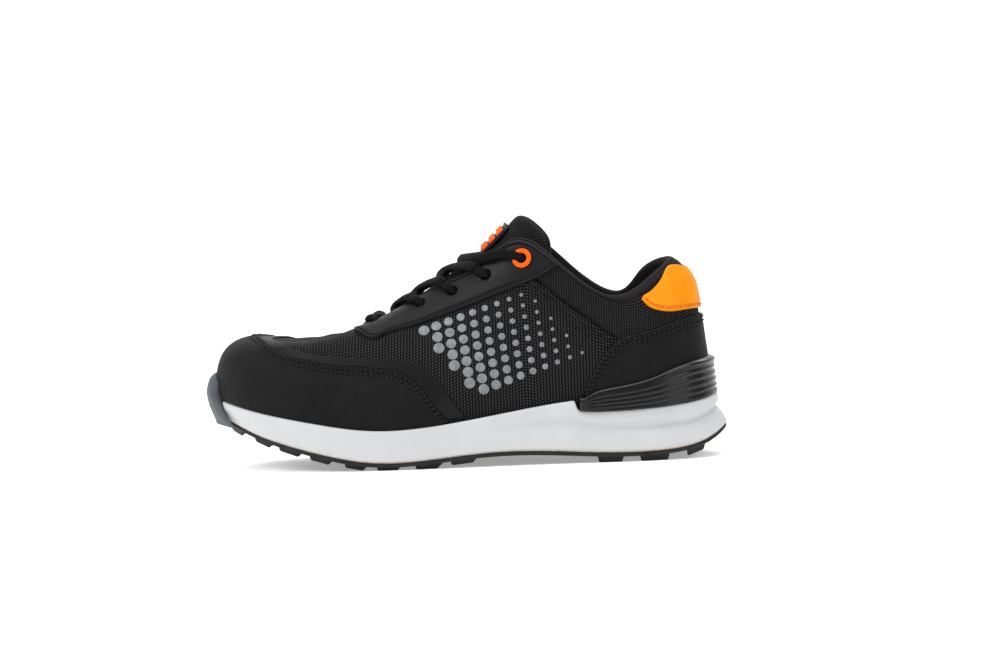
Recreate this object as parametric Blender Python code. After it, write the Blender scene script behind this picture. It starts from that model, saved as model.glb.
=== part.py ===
"""Left safety shoe of the trainer cut, standing on its tread: toe at -X, lateral side at -Y, +Z up.

Lengths are in millimetres and solid() writes the meshes in metres. A place on the upper is a pair.
Its turn counts the rows of LAST from the toe tip (0) to the heel tip (11), negative along the medial
side. Its rise runs from the bite line at the sole (0) to the edge of throat and collar (1).
"""
import bmesh
import bpy
import numpy as np

UNIT = 0.001
SHARP_ANGLE = 0.7
GAP = 0.3
OVERLAY_GAP = 0.45

# Sections of the last from toe tip to heel tip. The bite line's place, the side wall's bulge and
# height, then shoulder, crown and vamp as a share of the way from bite to edge and a height.
LAST_COLUMNS = ("bite_x", "lateral_y", "medial_y", "bite_z", "wall_out", "wall_z",
                "shoulder_in", "shoulder_z", "crown_in", "crown_z", "vamp_in", "vamp_z")
LAST = {
    "toe tip": (-144.3, 6.0, 6.0, 41.0, 0.2, 50.0, 0.055, 67.0, 0.27, 74.4, 0.60, 70.8),
    "toe shoulder": (-133.5, -20.0, 31.0, 38.6, 1.0, 49.0, 0.05, 65.0, 0.26, 73.2, 0.60, 72.0),
    "toe corner": (-112.0, -38.0, 44.5, 33.4, 1.8, 46.0, 0.05, 60.5, 0.25, 71.3, 0.59, 74.8),
    "toes": (-82.0, -46.5, 48.5, 27.3, 2.2, 41.5, 0.06, 57.0, 0.27, 71.0, 0.61, 80.0),
    "ball": (-50.0, -49.5, 49.0, 22.8, 2.3, 38.5, 0.08, 56.0, 0.31, 72.5, 0.65, 86.0),
    "fore waist": (-18.0, -48.0, 45.0, 24.0, 2.0, 41.0, 0.09, 59.0, 0.33, 77.0, 0.67, 93.0),
    "waist": (15.0, -44.0, 39.5, 28.6, 1.8, 47.0, 0.10, 66.0, 0.34, 85.0, 0.67, 101.5),
    "rear waist": (48.0, -39.5, 36.0, 32.0, 1.8, 52.0, 0.12, 72.0, 0.36, 92.0, 0.67, 111.0),
    "heel front": (80.0, -36.5, 34.5, 30.0, 1.8, 47.0, 0.14, 64.0, 0.36, 80.0, 0.67, 96.0),
    "heel": (110.0, -32.5, 31.5, 31.0, 1.2, 46.0, 0.14, 60.0, 0.32, 73.0, 0.62, 84.5),
    "heel corner": (131.5, -20.5, 20.0, 33.6, 0.6, 49.0, 0.10, 64.0, 0.24, 80.0, 0.48, 94.0),
    "heel tip": (138.8, 0.0, 0.0, 36.0, 0.3, 51.0, 0.08, 67.0, 0.20, 85.0, 0.40, 101.5),
}

# Edge of the throat and collar, a row for each section of the last.
EDGE_COLUMNS = ("edge_x", "lateral_y", "medial_y", "edge_z")
EDGE = {
    "throat front": (-53.0, 1.5, 1.5, 78.0),
    "throat curve": (-52.0, -5.5, 8.5, 78.6),
    "throat corner": (-48.0, -10.0, 13.0, 81.0),
    "first hole": (-39.5, -12.5, 15.5, 86.0),
    "second hole": (-25.0, -14.5, 17.5, 95.0),
    "third hole": (-7.0, -17.0, 19.5, 104.0),
    "fourth hole": (13.0, -20.5, 22.5, 114.5),
    "throat top": (36.0, -26.5, 27.5, 127.5),
    "collar front": (63.0, -32.5, 32.5, 108.0),
    "collar dip": (91.0, -31.0, 31.0, 93.0),
    "collar rise": (108.5, -20.0, 20.0, 105.8),
    "collar back": (122.5, 0.0, 0.0, 113.5),
}

# Sole: its side beyond the bite line at top and bottom, the rim's line, the line under the heel
# clip, the joint with the outsole, the floor under the insole and the depth of the heel's scoop.
SOLE_COLUMNS = ("top_out", "bottom_out", "rim_z", "clip_z", "joint_z", "floor_z", "scoop")
SOLE = {
    "toe tip": (1.8, -2.2, 40.5, 40.5, 28.5, 33.5, 0.0),
    "toe shoulder": (2.4, -0.5, 38.2, 38.2, 27.0, 31.0, 0.0),
    "toe corner": (3.2, 2.6, 33.2, 33.2, 19.8, 25.0, 0.0),
    "toes": (3.8, 4.2, 27.2, 27.2, 11.0, 19.0, 0.0),
    "ball": (4.0, 4.7, 22.7, 24.0, 5.0, 15.2, 0.0),
    "fore waist": (3.6, 4.4, 23.9, 27.0, 5.7, 15.8, 0.0),
    "waist": (3.2, 4.0, 28.5, 29.5, 8.4, 19.3, 0.2),
    "rear waist": (3.4, 4.4, 33.7, 30.2, 8.1, 23.3, 1.0),
    "heel front": (4.8, 5.8, 37.5, 29.8, 6.3, 25.8, 1.7),
    "heel": (5.4, 6.8, 41.0, 30.8, 6.3, 27.0, 2.0),
    "heel corner": (6.0, 8.6, 44.0, 33.4, 10.6, 27.8, 2.0),
    "heel tip": (6.3, 11.0, 46.0, 36.0, 18.0, 28.2, 1.8),
}
CLIP_TURN = 7.52
CLIP_STEP = 0.02

# Columns of the shoe's meshes by turn, close at toe, throat top and heel, and rows up the outside.
TURNS = np.concatenate([np.arange(0, 1, 0.25), np.arange(1, 10, 0.5), np.arange(10, 11.1, 0.25)])
RISES = np.array([0, 0.12, 0.24, 0.36, 0.50, 0.67, 0.84, 1.0])
INNER_RISES = np.array([1.0, 0.86, 0.71, 0.54, 0.30, 0.0])

# Wall of the upper and the padding of its collar.
WALL = 2.2
COLLAR_PAD = 6.0
PAD_FROM_TURN = 6.6
PAD_FULL_TURN = 7.7
PAD_LOW = 0.50
PAD_FULL = 0.80
PAD_AT_EDGE = 0.60
RIM_RISE = 0.5
SEAT_IN = 1.6

# Midsole side: share of its height, share of the step from top to bottom outline, share of scoop.
SIDE_COLUMNS = ("down", "flare", "scoop")
SIDE = {
    "band": (0.10, 0.02, 0.0),
    "crease": (0.30, 0.10, 0.0),
    "scoop": (0.42, 0.25, 1.0),
    "belly": (0.68, 0.75, 0.35),
    "foot": (0.93, 1.04, 0.0),
}
RIM_ROUND = 0.7

# Outsole and its tread: rows of lugs by their span along the sole and their depth.
RUBBER = 2.5
LUG_COLUMNS = ("start", "end", "depth")
LUGS = {
    "toe": (-139.0, -128.0, 3.0),
    "toe second": (-119.5, -109.5, 2.6),
    "toe third": (-104.5, -92.5, 2.6),
    "toes": (-86.5, -75.0, 2.6),
    "ball front": (-66.5, -55.5, 2.6),
    "ball": (-48.5, -36.0, 2.6),
    "ball rear": (-27.0, -13.5, 3.2),
    "waist": (-7.0, 6.5, 2.4),
    "heel front": (76.0, 90.5, 3.8),
    "heel": (99.5, 115.0, 3.8),
    "heel rear": (123.3, 131.5, 3.4),
}
LUG_LANES = ((0.02, 0.34), (0.40, 0.60), (0.66, 0.98))
LUG_TAPER = 0.9
SOLE_EXTRA_X = (-143.2, -141.5, 24.0, 40.0, 58.0, 135.0, 137.6)

# Toe bumper of the outsole: half width in turns and thickness at heights up its front, corners, root.
BUMPER_EDGE = ((24.0, 28.0, 33.0, 40.0, 48.0, 55.0), (1.15, 0.98, 0.86, 0.78, 0.64, 0.52))
BUMPER_SWELL = ((22.0, 27.0, 33.0, 38.0, 44.0, 50.0, 55.0), (1.6, 3.0, 4.2, 4.5, 4.4, 3.6, 1.8))
BUMPER_CORNER = 5.0
BUMPER_THIN = 0.72
BUMPER_ROOT = 4.0
BUMPER_CLEAR = 0.6
BUMPER_COLUMNS = 11
BUMPER_ROWS = 7

# Overlays: thickness each, and their lines drawn on the side in x and z or on top in x and y.
GUARD_THICK = 1.6
TRIM_THICK = 0.7
EYESTAY_THICK = 1.4
COUNTER_THICK = 1.4
TAB_THICK = 1.3
SEAM_THICK = 0.8
SEAM_BACK = 3.2
SEAM_DOWN = 3.8
CLIP_TOP_THICK = 2.4
CLIP_FOOT_THICK = 4.6
CLIP_RIB = 0.8
CLIP_RIBS = 3
CLIP_APART = 0.06
EDGE_SOFT = 0.55
TRIM_APART = 0.008
OUTLINE_STEP = 13.0
FINE = 40
FOOT_RISE = 0.02
EDGE_RISE = 0.985
MERGE = 0.0012
FLAT = np.array([0.020, 0.100])
GUARD_FRONT = ((-119.0, 2.0), (-117.5, -10.0), (-113.0, -20.0))
GUARD_SIDE = ((-104.0, 67.3), (-90.0, 63.5), (-73.0, 60.0), (-56.0, 58.3), (-40.0, 56.3), (-30.5, 53.0),
              (-22.5, 46.5), (-15.5, 37.0), (-8.5, 27.5))
TRIM_FRONT = ((-112.0, 2.0), (-110.5, -10.5), (-105.5, -21.0))
TRIM_SIDE = ((-94.0, 68.5), (-78.0, 65.3), (-58.0, 63.6), (-38.0, 62.3), (-25.0, 59.6), (-15.5, 53.2),
             (-8.5, 45.0), (-2.5, 36.0), (2.5, 28.5))
EYESTAY_FRONT = ((-64.5, 1.5), (-63.5, -9.0), (-60.0, -17.5))
EYESTAY_SIDE = ((-53.5, 75.0), (-42.0, 76.6), (-28.0, 80.0), (-4.0, 87.7), (20.0, 96.3),
                (37.0, 102.3), (50.0, 108.0), (58.0, 112.6))
COUNTER_SIDE = ((71.0, 41.5), (77.0, 52.5), (83.7, 62.0), (90.7, 68.0), (100.0, 71.8), (118.0, 76.5),
                (130.0, 79.6))
COUNTER_BACK_Z = 81.5
TAB_FOOT = ((106.0, 92.0), (110.0, 88.4), (115.0, 86.0), (122.0, 85.0), (131.0, 84.6))
TAB_TOP = ((107.3, 94.3), (110.4, 98.8), (114.1, 104.6), (117.9, 108.6), (122.4, 109.6))
TAB_FOOT_BACK_Z = 84.5
TAB_TOP_BACK_Z = 108.0
SEAM_LINE = ((46.5, 101.5), (55.0, 94.0), (66.0, 85.0), (76.0, 76.5), (83.0, 70.5))
CLIP_TOP = ((69.0, 37.6), (76.0, 40.8), (84.0, 42.2), (95.0, 44.0), (106.0, 46.4), (116.5, 50.4),
            (127.0, 53.8), (134.0, 55.2))
CLIP_BACK_Z = 56.5

# Lace holes by turn and rise, the top one in its ring, and the flat-oval lace.
HOLES = ((3.15, 0.855), (4.42, 0.855), (5.27, 0.86), (6.11, 0.865), (6.94, 0.865))
HOLE_RADIUS = 2.3
HOLE_SIDES = 6
HOLE_REACH = (-9.0, 6.0)
RING_RADIUS = 5.6
RING_BORE = 2.9
RING_THICK = 1.5
RING_SIDES = 10
RING_CHAMFER = 1.0
LACE_WIDTH = 6.0
LACE_THICK = 2.6
LACE_LIFT = 0.5
LACE_OVER_EDGE = 2.0
LACE_ON_TONGUE = 2.5
LACE_STEPS = 9
LACE_SIDES = 6
BAR_X = -48.0
LACE_EDGE = (2.05, 3.75, 4.78, 5.76, 6.10)
CROSS_X = (-37.5, -24.0, -8.0)
CROSS_FAR = (2.75, 3.42, 4.30)
CROSS_END = 0.40
LACE_STACK = 0.7
TOP_LACE_X = 3.0
TOP_LACE_FROM = 0.40

# Tongue: turn and arch over the throat's edges at each station, then the rows of its free end as a
# share of its length and the end's outline from its middle to one side.
TONGUE_STATIONS = ((1.0, 1.5), (1.5, 2.0), (2.0, 2.8), (2.5, 3.8), (3.0, 4.4), (3.5, 4.8),
                   (4.0, 5.4), (4.5, 6.3), (5.0, 7.4), (5.5, 8.5), (6.0, 9.8), (6.5, 11.0))
TONGUE_UNDER = (0.80, 0.90, 1.0)
TONGUE_ACROSS = (0.25, 0.5, 0.75)
TONGUE_CLEAR = 0.9
TONGUE_THIN = 3.5
TONGUE_THICK = 8.0
TONGUE_EDGE = 0.5
TONGUE_REACH = (0.30, 0.60, 0.85, 1.0)
TONGUE_END = ((37.5, 0.0, 141.0), (40.5, 9.5, 139.5), (45.5, 16.5, 133.2), (48.5, 20.5, 125.0),
              (48.5, 22.5, 115.0))
LABEL_THICK = 2.4
LABEL_FROM = 0.60

INSOLE_THICK = 5.0
INSOLE_CLEAR = 0.4
INSOLE_ROUND = 0.8

MATERIALS = {
    "rubber": ((0.035, 0.037, 0.040), 0.55),
    "foam": ((0.72, 0.74, 0.76), 0.62),
    "clip": ((0.012, 0.012, 0.013), 0.32),
    "mesh": ((0.016, 0.017, 0.020), 0.85),
    "guard": ((0.020, 0.021, 0.024), 0.70),
    "trim": ((0.024, 0.026, 0.030), 0.45),
    "tab": ((0.90, 0.33, 0.012), 0.60),
    "lining": ((0.014, 0.014, 0.016), 0.90),
    "ring": ((0.95, 0.16, 0.006), 0.35),
    "lace": ((0.012, 0.012, 0.013), 0.80),
}


def column(table, names, name):
    """One named column of a table, toe to heel."""
    return np.array([row[names.index(name)] for row in table.values()])


def basis(t):
    """Weights of the four control values of a uniform cubic."""
    second = 3 * t ** 3 - 6 * t ** 2 + 4
    third = -3 * t ** 3 + 3 * t ** 2 + 3 * t + 1
    return np.stack([(1 - t) ** 3, second, third, t ** 3]) / 6


def closed_controls(values):
    """Control values of the closed cubic that passes through the values."""
    eye = np.eye(len(values))
    system = (4 * eye + np.roll(eye, 1, 0) + np.roll(eye, -1, 0)) / 6
    return np.linalg.solve(system, values.reshape(len(values), -1)).reshape(values.shape)


def open_controls(values):
    """Control values of the cubic with straight ends that passes through the values."""
    count = len(values)
    system = np.eye(count)
    for i in range(1, count - 1):
        system[i, i - 1:i + 2] = np.array([1, 4, 1]) / 6
    inner = np.linalg.solve(system, values.reshape(count, -1)).reshape(values.shape)
    return np.concatenate([2 * inner[:1] - inner[1:2], inner, 2 * inner[-1:] - inner[-2:-1]])


def around(lateral, medial):
    """Toe to heel along the lateral side, then back along the medial side."""
    return np.concatenate([lateral, medial[-2:0:-1]])


HALF = len(LAST) - 1
LOOP = 2 * HALF


def closed_value(values, turn):
    """The closed cubic through a value for each section, at any turn."""
    controls = closed_controls(around(values, values))
    cell = np.floor(turn).astype(int)
    weights = basis(turn - cell)
    return sum(weights[k] * controls[(cell - 1 + k) % LOOP] for k in range(4))


def sole(name, turn):
    """A column of SOLE at any turn."""
    return closed_value(column(SOLE, SOLE_COLUMNS, name), np.asarray(turn, float))


def last_net():
    """Control net of the last: sections around it, levels up it."""
    last = {name: column(LAST, LAST_COLUMNS, name) for name in LAST_COLUMNS}
    edge = {name: column(EDGE, EDGE_COLUMNS, name) for name in EDGE_COLUMNS}
    both = {name: around(values, values) for name, values in last.items()}
    bite = np.stack([both["bite_x"], around(last["lateral_y"], last["medial_y"]), both["bite_z"]], 1)
    top_x = around(edge["edge_x"], edge["edge_x"])
    top_y = around(edge["lateral_y"], edge["medial_y"])
    top = np.stack([top_x, top_y, around(edge["edge_z"], edge["edge_z"])], 1)
    along = np.roll(bite, -1, 0) - np.roll(bite, 1, 0)
    outward = np.stack([along[:, 1], -along[:, 0]], 1)
    outward /= np.linalg.norm(outward, axis=1)[:, None]
    levels = [bite]
    wall = bite.copy()
    wall[:, :2] += outward * both["wall_out"][:, None]
    wall[:, 2] = both["wall_z"]
    levels.append(wall)
    for name in ("shoulder", "crown", "vamp"):
        level = bite + (top - bite) * both[name + "_in"][:, None]
        level[:, 2] = both[name + "_z"]
        levels.append(level)
    levels.append(top)
    net = np.stack(levels, 1)
    ringed = closed_controls(net)
    return np.swapaxes(open_controls(np.swapaxes(ringed, 0, 1)), 0, 1)


NET = last_net()
SPANS = NET.shape[1] - 3
STEP = 1e-3


def skin(turn, rise):
    """Point of the last's surface."""
    turn, rise = np.broadcast_arrays(np.asarray(turn, float), np.asarray(rise, float))
    cell = np.floor(turn).astype(int)
    level = np.clip(np.floor(rise * SPANS).astype(int), 0, SPANS - 1)
    weight_u = basis(turn - cell)
    weight_v = basis(rise * SPANS - level)
    point = np.zeros(turn.shape + (3,))
    for i in range(4):
        for j in range(4):
            point += (weight_u[i] * weight_v[j])[..., None] * NET[(cell - 1 + i) % LOOP, level + j]
    return point


def normal(turn, rise):
    """Outward direction of the last's surface."""
    turn = np.asarray(turn, float)
    rise = np.asarray(rise, float)
    by_turn = skin(turn + STEP, rise) - skin(turn - STEP, rise)
    by_rise = skin(turn, np.minimum(rise + STEP, 1)) - skin(turn, np.maximum(rise - STEP, 0))
    out = np.cross(by_turn, by_rise)
    return out / np.linalg.norm(out, axis=-1)[..., None]


def surface(turn, rise, out):
    """Point at a distance off the last's surface."""
    return skin(turn, rise) + normal(turn, rise) * np.asarray(out, float)[..., None]


def outward(turn):
    """Level direction away from the bite line."""
    turn = np.asarray(turn, float)
    along = skin(turn + STEP, 0.0) - skin(turn - STEP, 0.0)
    side = np.stack([along[..., 1], -along[..., 0], 0 * along[..., 0]], -1)
    return side / np.linalg.norm(side, axis=-1)[..., None]


def place(points, axis):
    """Turn and rise on the lateral side of points given by x and, on axis 1, y or, on axis 2, z."""
    turns, rises = np.meshgrid(np.linspace(0, HALF, 12 * HALF + 1), np.linspace(0, 1, 61), indexing="ij")
    grid = skin(turns, rises)
    found = []
    for first, second in points:
        target = np.array([first, second])
        far = np.hypot(grid[..., 0] - first, grid[..., axis] - second)
        best = np.unravel_index(far.argmin(), far.shape)
        pair = np.array([turns[best], rises[best]])
        for _ in range(6):
            here = skin(pair[0], pair[1])[[0, axis]]
            slope_u = (skin(pair[0] + STEP, pair[1])[[0, axis]] - here) / STEP
            slope_v = (skin(pair[0], pair[1] + STEP)[[0, axis]] - here) / STEP
            move = np.linalg.lstsq(np.stack([slope_u, slope_v], 1), target - here, rcond=0.05)[0]
            pair = pair + np.clip(move, -0.1, 0.1)
            pair[1] = np.clip(pair[1], 0, 1)
        found.append(pair)
    return np.array(found)


def rise_at(turn, z):
    """Rise at which the side wall reaches a height."""
    low = np.zeros_like(turn)
    high = np.full_like(turn, 0.6)
    for _ in range(30):
        middle = (low + high) / 2
        under = skin(turn, middle)[..., 2] < z
        low = np.where(under, middle, low)
        high = np.where(under, high, middle)
    return low


def turn_at(x):
    """Turn of the section whose bite line is at x."""
    turns = np.linspace(0, HALF, 1101)
    return np.interp(x, skin(turns, 0.0)[:, 0], turns)


def smooth(low, high, value):
    """Soft step from 0 to 1."""
    t = np.clip((value - low) / (high - low), 0, 1)
    return t * t * (3 - 2 * t)


def wall(turn, rise):
    """Thickness of the upper, thick where the collar is padded."""
    padded = smooth(PAD_FROM_TURN, PAD_FULL_TURN, np.abs(turn))
    full = smooth(PAD_LOW, PAD_FULL, rise) - (1 - PAD_AT_EDGE) * smooth(PAD_FULL, 1.0, rise)
    return WALL + COLLAR_PAD * padded * full


def line(points):
    """Even points along the cubic through a line's turn and rise pairs."""
    controls = open_controls(np.asarray(points, float))
    spans = len(points) - 1
    fine = np.linspace(0, spans, FINE * spans + 1)
    cell = np.minimum(fine.astype(int), spans - 1)
    weights = basis(fine - cell)
    pairs = sum(weights[k][:, None] * controls[cell + k] for k in range(4))
    reach = np.linalg.norm(np.diff(skin(pairs[:, 0], np.clip(pairs[:, 1], 0, 1)), axis=0), axis=1)
    length = np.concatenate([[0], np.cumsum(reach)])
    even = np.linspace(0, length[-1], int(length[-1] / OUTLINE_STEP) + 3)
    return np.stack([np.interp(even, length, pairs[:, k]) for k in range(2)], 1)


def both_sides(front, side):
    """A line from the lateral end over the front to the medial end, drawn once for both sides."""
    lateral = np.concatenate([place(front, 1), place(side, 2)])
    medial = lateral[1:] * (-1, 1)
    lateral[0, 0] = 0
    return np.concatenate([lateral[::-1], medial])


def round_heel(side, back_z):
    """A line from the lateral end round the heel to the medial end."""
    lateral = place(side, 2)
    back = np.array([[HALF, rise_back(back_z)]])
    medial = lateral[::-1] * (-1, 1) + (LOOP, 0)
    return np.concatenate([lateral, back, medial])


def rise_back(z):
    """Rise of a height at the heel tip."""
    rises = np.linspace(0, 1, 501)
    return np.interp(z, skin(np.full(501, float(HALF)), rises)[:, 2], rises)


def solid(name, verts, faces, slot):
    """A named object with its material, from points in millimetres."""
    mesh = bpy.data.meshes.new(name)
    mesh.from_pydata([tuple(v) for v in np.asarray(verts) * UNIT], [], faces)
    tidy_normals(mesh)
    mesh.materials.append(material(slot))
    thing = bpy.data.objects.new(name, mesh)
    bpy.context.scene.collection.objects.link(thing)
    return thing


def material(slot):
    """Principled material of a slot, made once."""
    if slot in bpy.data.materials:
        return bpy.data.materials[slot]
    colour, rough = MATERIALS[slot]
    made = bpy.data.materials.new(slot)
    made.use_nodes = True
    shader = made.node_tree.nodes["Principled BSDF"]
    shader.inputs["Base Color"].default_value = (*colour, 1.0)
    shader.inputs["Roughness"].default_value = rough
    shader.inputs["Metallic"].default_value = 0.0
    return made


def quads(rows, columns, start, closed_rows, closed_columns):
    """Faces of a grid of points numbered row by row, all split along one diagonal."""
    faces = []
    for i in range(rows if closed_rows else rows - 1):
        for j in range(columns if closed_columns else columns - 1):
            k = (i + 1) % rows
            m = (j + 1) % columns
            corners = [start + a * columns + b for a, b in ((i, j), (k, j), (k, m), (i, m))]
            faces.append((corners[0], corners[1], corners[2]))
            faces.append((corners[0], corners[2], corners[3]))
    return faces


def shell(name, outer, inner, slot):
    """Solid between two grids of points of one size."""
    rows, columns = outer.shape[:2]
    count = rows * columns
    faces = quads(rows, columns, 0, False, False)
    faces += [f[::-1] for f in quads(rows, columns, count, False, False)]
    border = [(i, 0) for i in range(rows)] + [(rows - 1, j) for j in range(1, columns)]
    border += [(i, columns - 1) for i in range(rows - 2, -1, -1)]
    border += [(0, j) for j in range(columns - 2, 0, -1)]
    ids = [i * columns + j for i, j in border]
    for a, b in zip(ids, ids[1:] + ids[:1]):
        faces.append((a, b, b + count, a + count))
    return solid(name, np.concatenate([outer.reshape(-1, 3), inner.reshape(-1, 3)]), faces, slot)


def slab(loops, first_lanes, last_lanes):
    """Points and faces of a closed side between loops, floored across at the first and last loop."""
    columns = len(loops[0])
    half = columns // 2
    verts = [point for loop in loops for point in loop]
    faces = quads(len(loops), columns, 0, False, True)
    cells = []
    for at, lanes in ((0, first_lanes), (len(loops) - 1, last_lanes)):
        base = at * columns
        rungs = []
        for i in range(1, half):
            left = loops[at][i]
            right = loops[at][columns - i]
            inner = []
            for lane in lanes:
                inner.append(len(verts))
                verts.append(left + (right - left) * lane)
            rungs.append([base + i] + inner + [base + columns - i])
        for first, second in zip(rungs, rungs[1:]):
            for j in range(len(first) - 1):
                faces.append((first[j], first[j + 1], second[j + 1], second[j]))
        for tip, rung in ((base, rungs[0]), (base + half, rungs[-1])):
            for j in range(len(rung) - 1):
                faces.append((tip, rung[j], rung[j + 1]))
        cells = rungs
    return np.array(verts), faces, cells


def flat_box(name, x_lines, y_lines, z_lines, slot):
    """Solid gridded on its two broad faces, in the flat space of turn, rise and offset."""
    layers = []
    for z in z_lines:
        x, y = np.meshgrid(x_lines, y_lines, indexing="ij")
        layers.append(np.stack([x, y, np.full_like(x, z)], -1) / UNIT)
    return shell(name, layers[1], layers[0], slot)


def overlay(name, low, high, thick, slot):
    """Sheet on the upper's own grid, cut flat to the outline between two lines, then laid on the last."""
    outline = np.concatenate([low, high[::-1]]) * FLAT
    lines = grid_turns()
    first = max(np.searchsorted(lines * FLAT[0], outline[:, 0].min()) - 1, 0)
    last = np.searchsorted(lines * FLAT[0], outline[:, 0].max()) + 1
    layers = (OVERLAY_GAP, OVERLAY_GAP + thick)
    sheet = flat_box(name, lines[first:last] * FLAT[0], RISES * FLAT[1], layers, slot)
    count = len(outline)
    ends = [np.column_stack([outline, np.full(count, z)]) / UNIT for z in (-1.0, 2 * thick + 1)]
    faces = quads(2, count, 0, False, True)
    faces += [tuple(range(count)), tuple(range(2 * count - 1, count - 1, -1))]
    boolean(sheet, solid("outline", np.concatenate(ends), faces, slot), "INTERSECT")
    work = bmesh.new()
    work.from_mesh(sheet.data)
    bmesh.ops.remove_doubles(work, verts=work.verts, dist=MERGE)
    work.to_mesh(sheet.data)
    work.free()
    for vert in sheet.data.vertices:
        turn, rise, out = vert.co
        vert.co = on_facets(lines, turn / FLAT[0], np.clip(rise / FLAT[1], 0, 1), out) * UNIT
    tidy_normals(sheet.data)
    return sheet


def on_facets(lines, turn, rise, out):
    """Point at a distance off the upper's own flat faces."""
    i = int(np.clip(np.searchsorted(lines, turn) - 1, 0, len(lines) - 2))
    j = int(np.clip(np.searchsorted(RISES, rise) - 1, 0, len(RISES) - 2))
    a = (turn - lines[i]) / (lines[i + 1] - lines[i])
    b = (rise - RISES[j]) / (RISES[j + 1] - RISES[j])
    corners = surface(lines[[i, i, i + 1, i + 1]], RISES[[j, j + 1, j, j + 1]], np.full(4, out))
    share = (1 - a, 0, a - b, b) if a > b else (1 - b, b - a, 0, a)
    return np.array(share) @ corners


def tidy_normals(mesh):
    """Faces turned outward."""
    work = bmesh.new()
    work.from_mesh(mesh)
    bmesh.ops.recalc_face_normals(work, faces=work.faces)
    if work.calc_volume(signed=True) < 0:
        bmesh.ops.reverse_faces(work, faces=work.faces)
    work.to_mesh(mesh)
    work.free()


def strip(path, ups, width, thick, sides):
    """Points and faces of a flat-oval cord along a path, its flat face towards ups."""
    path = np.asarray(path, float)
    ahead = np.gradient(path, axis=0)
    ahead /= np.linalg.norm(ahead, axis=1)[:, None]
    across = np.cross(ahead, ups)
    across /= np.linalg.norm(across, axis=1)[:, None]
    above = np.cross(across, ahead)
    angle = np.arange(sides) * 2 * np.pi / sides
    rings = (path[:, None] + across[:, None] * (np.cos(angle) * width / 2)[None, :, None]
             + above[:, None] * (np.sin(angle) * thick / 2)[None, :, None])
    faces = quads(len(path), sides, 0, False, True)
    last = (len(path) - 1) * sides
    faces += [tuple(range(sides)), tuple(range(last + sides - 1, last - 1, -1))]
    return rings.reshape(-1, 3), faces


def boolean(target, tool, operation):
    """Join or cut with another object, which is then removed."""
    modifier = target.modifiers.new(operation.lower(), "BOOLEAN")
    modifier.operation = operation
    modifier.solver = "EXACT"
    modifier.object = tool
    graph = bpy.context.evaluated_depsgraph_get()
    mesh = bpy.data.meshes.new_from_object(target.evaluated_get(graph))
    target.modifiers.clear()
    target.data = mesh
    bpy.data.objects.remove(tool)


def loop_turns(turns):
    """The same turns down the lateral side and back along the medial side."""
    turns = np.asarray(turns, float)
    return np.concatenate([turns, LOOP - turns[-2:0:-1]])


def side_of(turn):
    """Turn folded to 0 at the toe and 11 at the heel, on either side."""
    return np.where(turn > HALF, LOOP - turn, turn)


def rim_line(turn):
    """Height of the midsole's top edge, stepped down under the heel clip."""
    return np.where(side_of(turn) > CLIP_TURN, sole("clip_z", turn), sole("rim_z", turn))


def make_upper():
    turn = loop_turns(TURNS)
    side = side_of(turn)
    foot = skin(turn, 0.0) - outward(turn) * SEAT_IN
    foot[:, 2] = sole("floor_z", turn) + GAP
    foot_in = foot - outward(turn) * WALL
    loops = [foot]
    for rise in RISES:
        loops.append(skin(turn, rise))
    thick = wall(side, np.ones_like(side))
    lip = surface(turn, np.ones_like(turn), -thick / 2)
    climb = skin(turn, 1.0) - skin(turn, 1.0 - STEP)
    climb /= np.linalg.norm(climb, axis=1)[:, None]
    loops.append(lip + climb * (thick * RIM_RISE)[:, None])
    for rise in INNER_RISES:
        rises = np.full_like(turn, rise)
        loops.append(surface(turn, rises, -wall(side, rises)))
    loops.append(foot_in)
    verts = np.concatenate(loops)
    return solid("upper", verts, quads(len(loops), len(turn), 0, True, True), "mesh")


def side_columns():
    """Turns for the midsole, with a pair of columns at the step under the clip."""
    even = TURNS[np.abs(TURNS - CLIP_TURN) > 2 * CLIP_STEP]
    return np.sort(np.concatenate([even, [CLIP_TURN - CLIP_STEP, CLIP_TURN + CLIP_STEP]]))


def sole_point(turn, out, z):
    """Point beyond the bite line at a height."""
    point = skin(turn, 0.0) + outward(turn) * np.asarray(out)[..., None]
    point[..., 2] = z
    return point


def midsole_side(turn):
    """Loops down the midsole's outer side, from its top edge to the joint."""
    top = rim_line(turn)
    joint = sole("joint_z", turn)
    top_out = sole("top_out", turn)
    bottom_out = sole("bottom_out", turn)
    loops = [sole_point(turn, top_out - RIM_ROUND, top)]
    for down, flare, scoop in SIDE.values():
        out = top_out + (bottom_out - top_out) * flare - sole("scoop", turn) * scoop
        loops.append(sole_point(turn, out, top + (joint - top) * down))
    loops.append(sole_point(turn, bottom_out - RIM_ROUND, joint))
    return loops


def make_midsole():
    turn = loop_turns(side_columns())
    top = rim_line(turn)
    floor = skin(turn, 0.0) - outward(turn) * (SEAT_IN - GAP)
    floor[:, 2] = sole("floor_z", turn)
    rim = surface(turn, rise_at(turn, top), np.full_like(turn, GAP))
    low = top < skin(turn, 0.0)[:, 2]
    rim[low] = (skin(turn, 0.0) + outward(turn) * GAP)[low]
    rim[:, 2] = top
    verts, faces, _ = slab([floor, rim] + midsole_side(turn), (0.5,), ())
    return solid("midsole", verts, faces, "foam")


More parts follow.
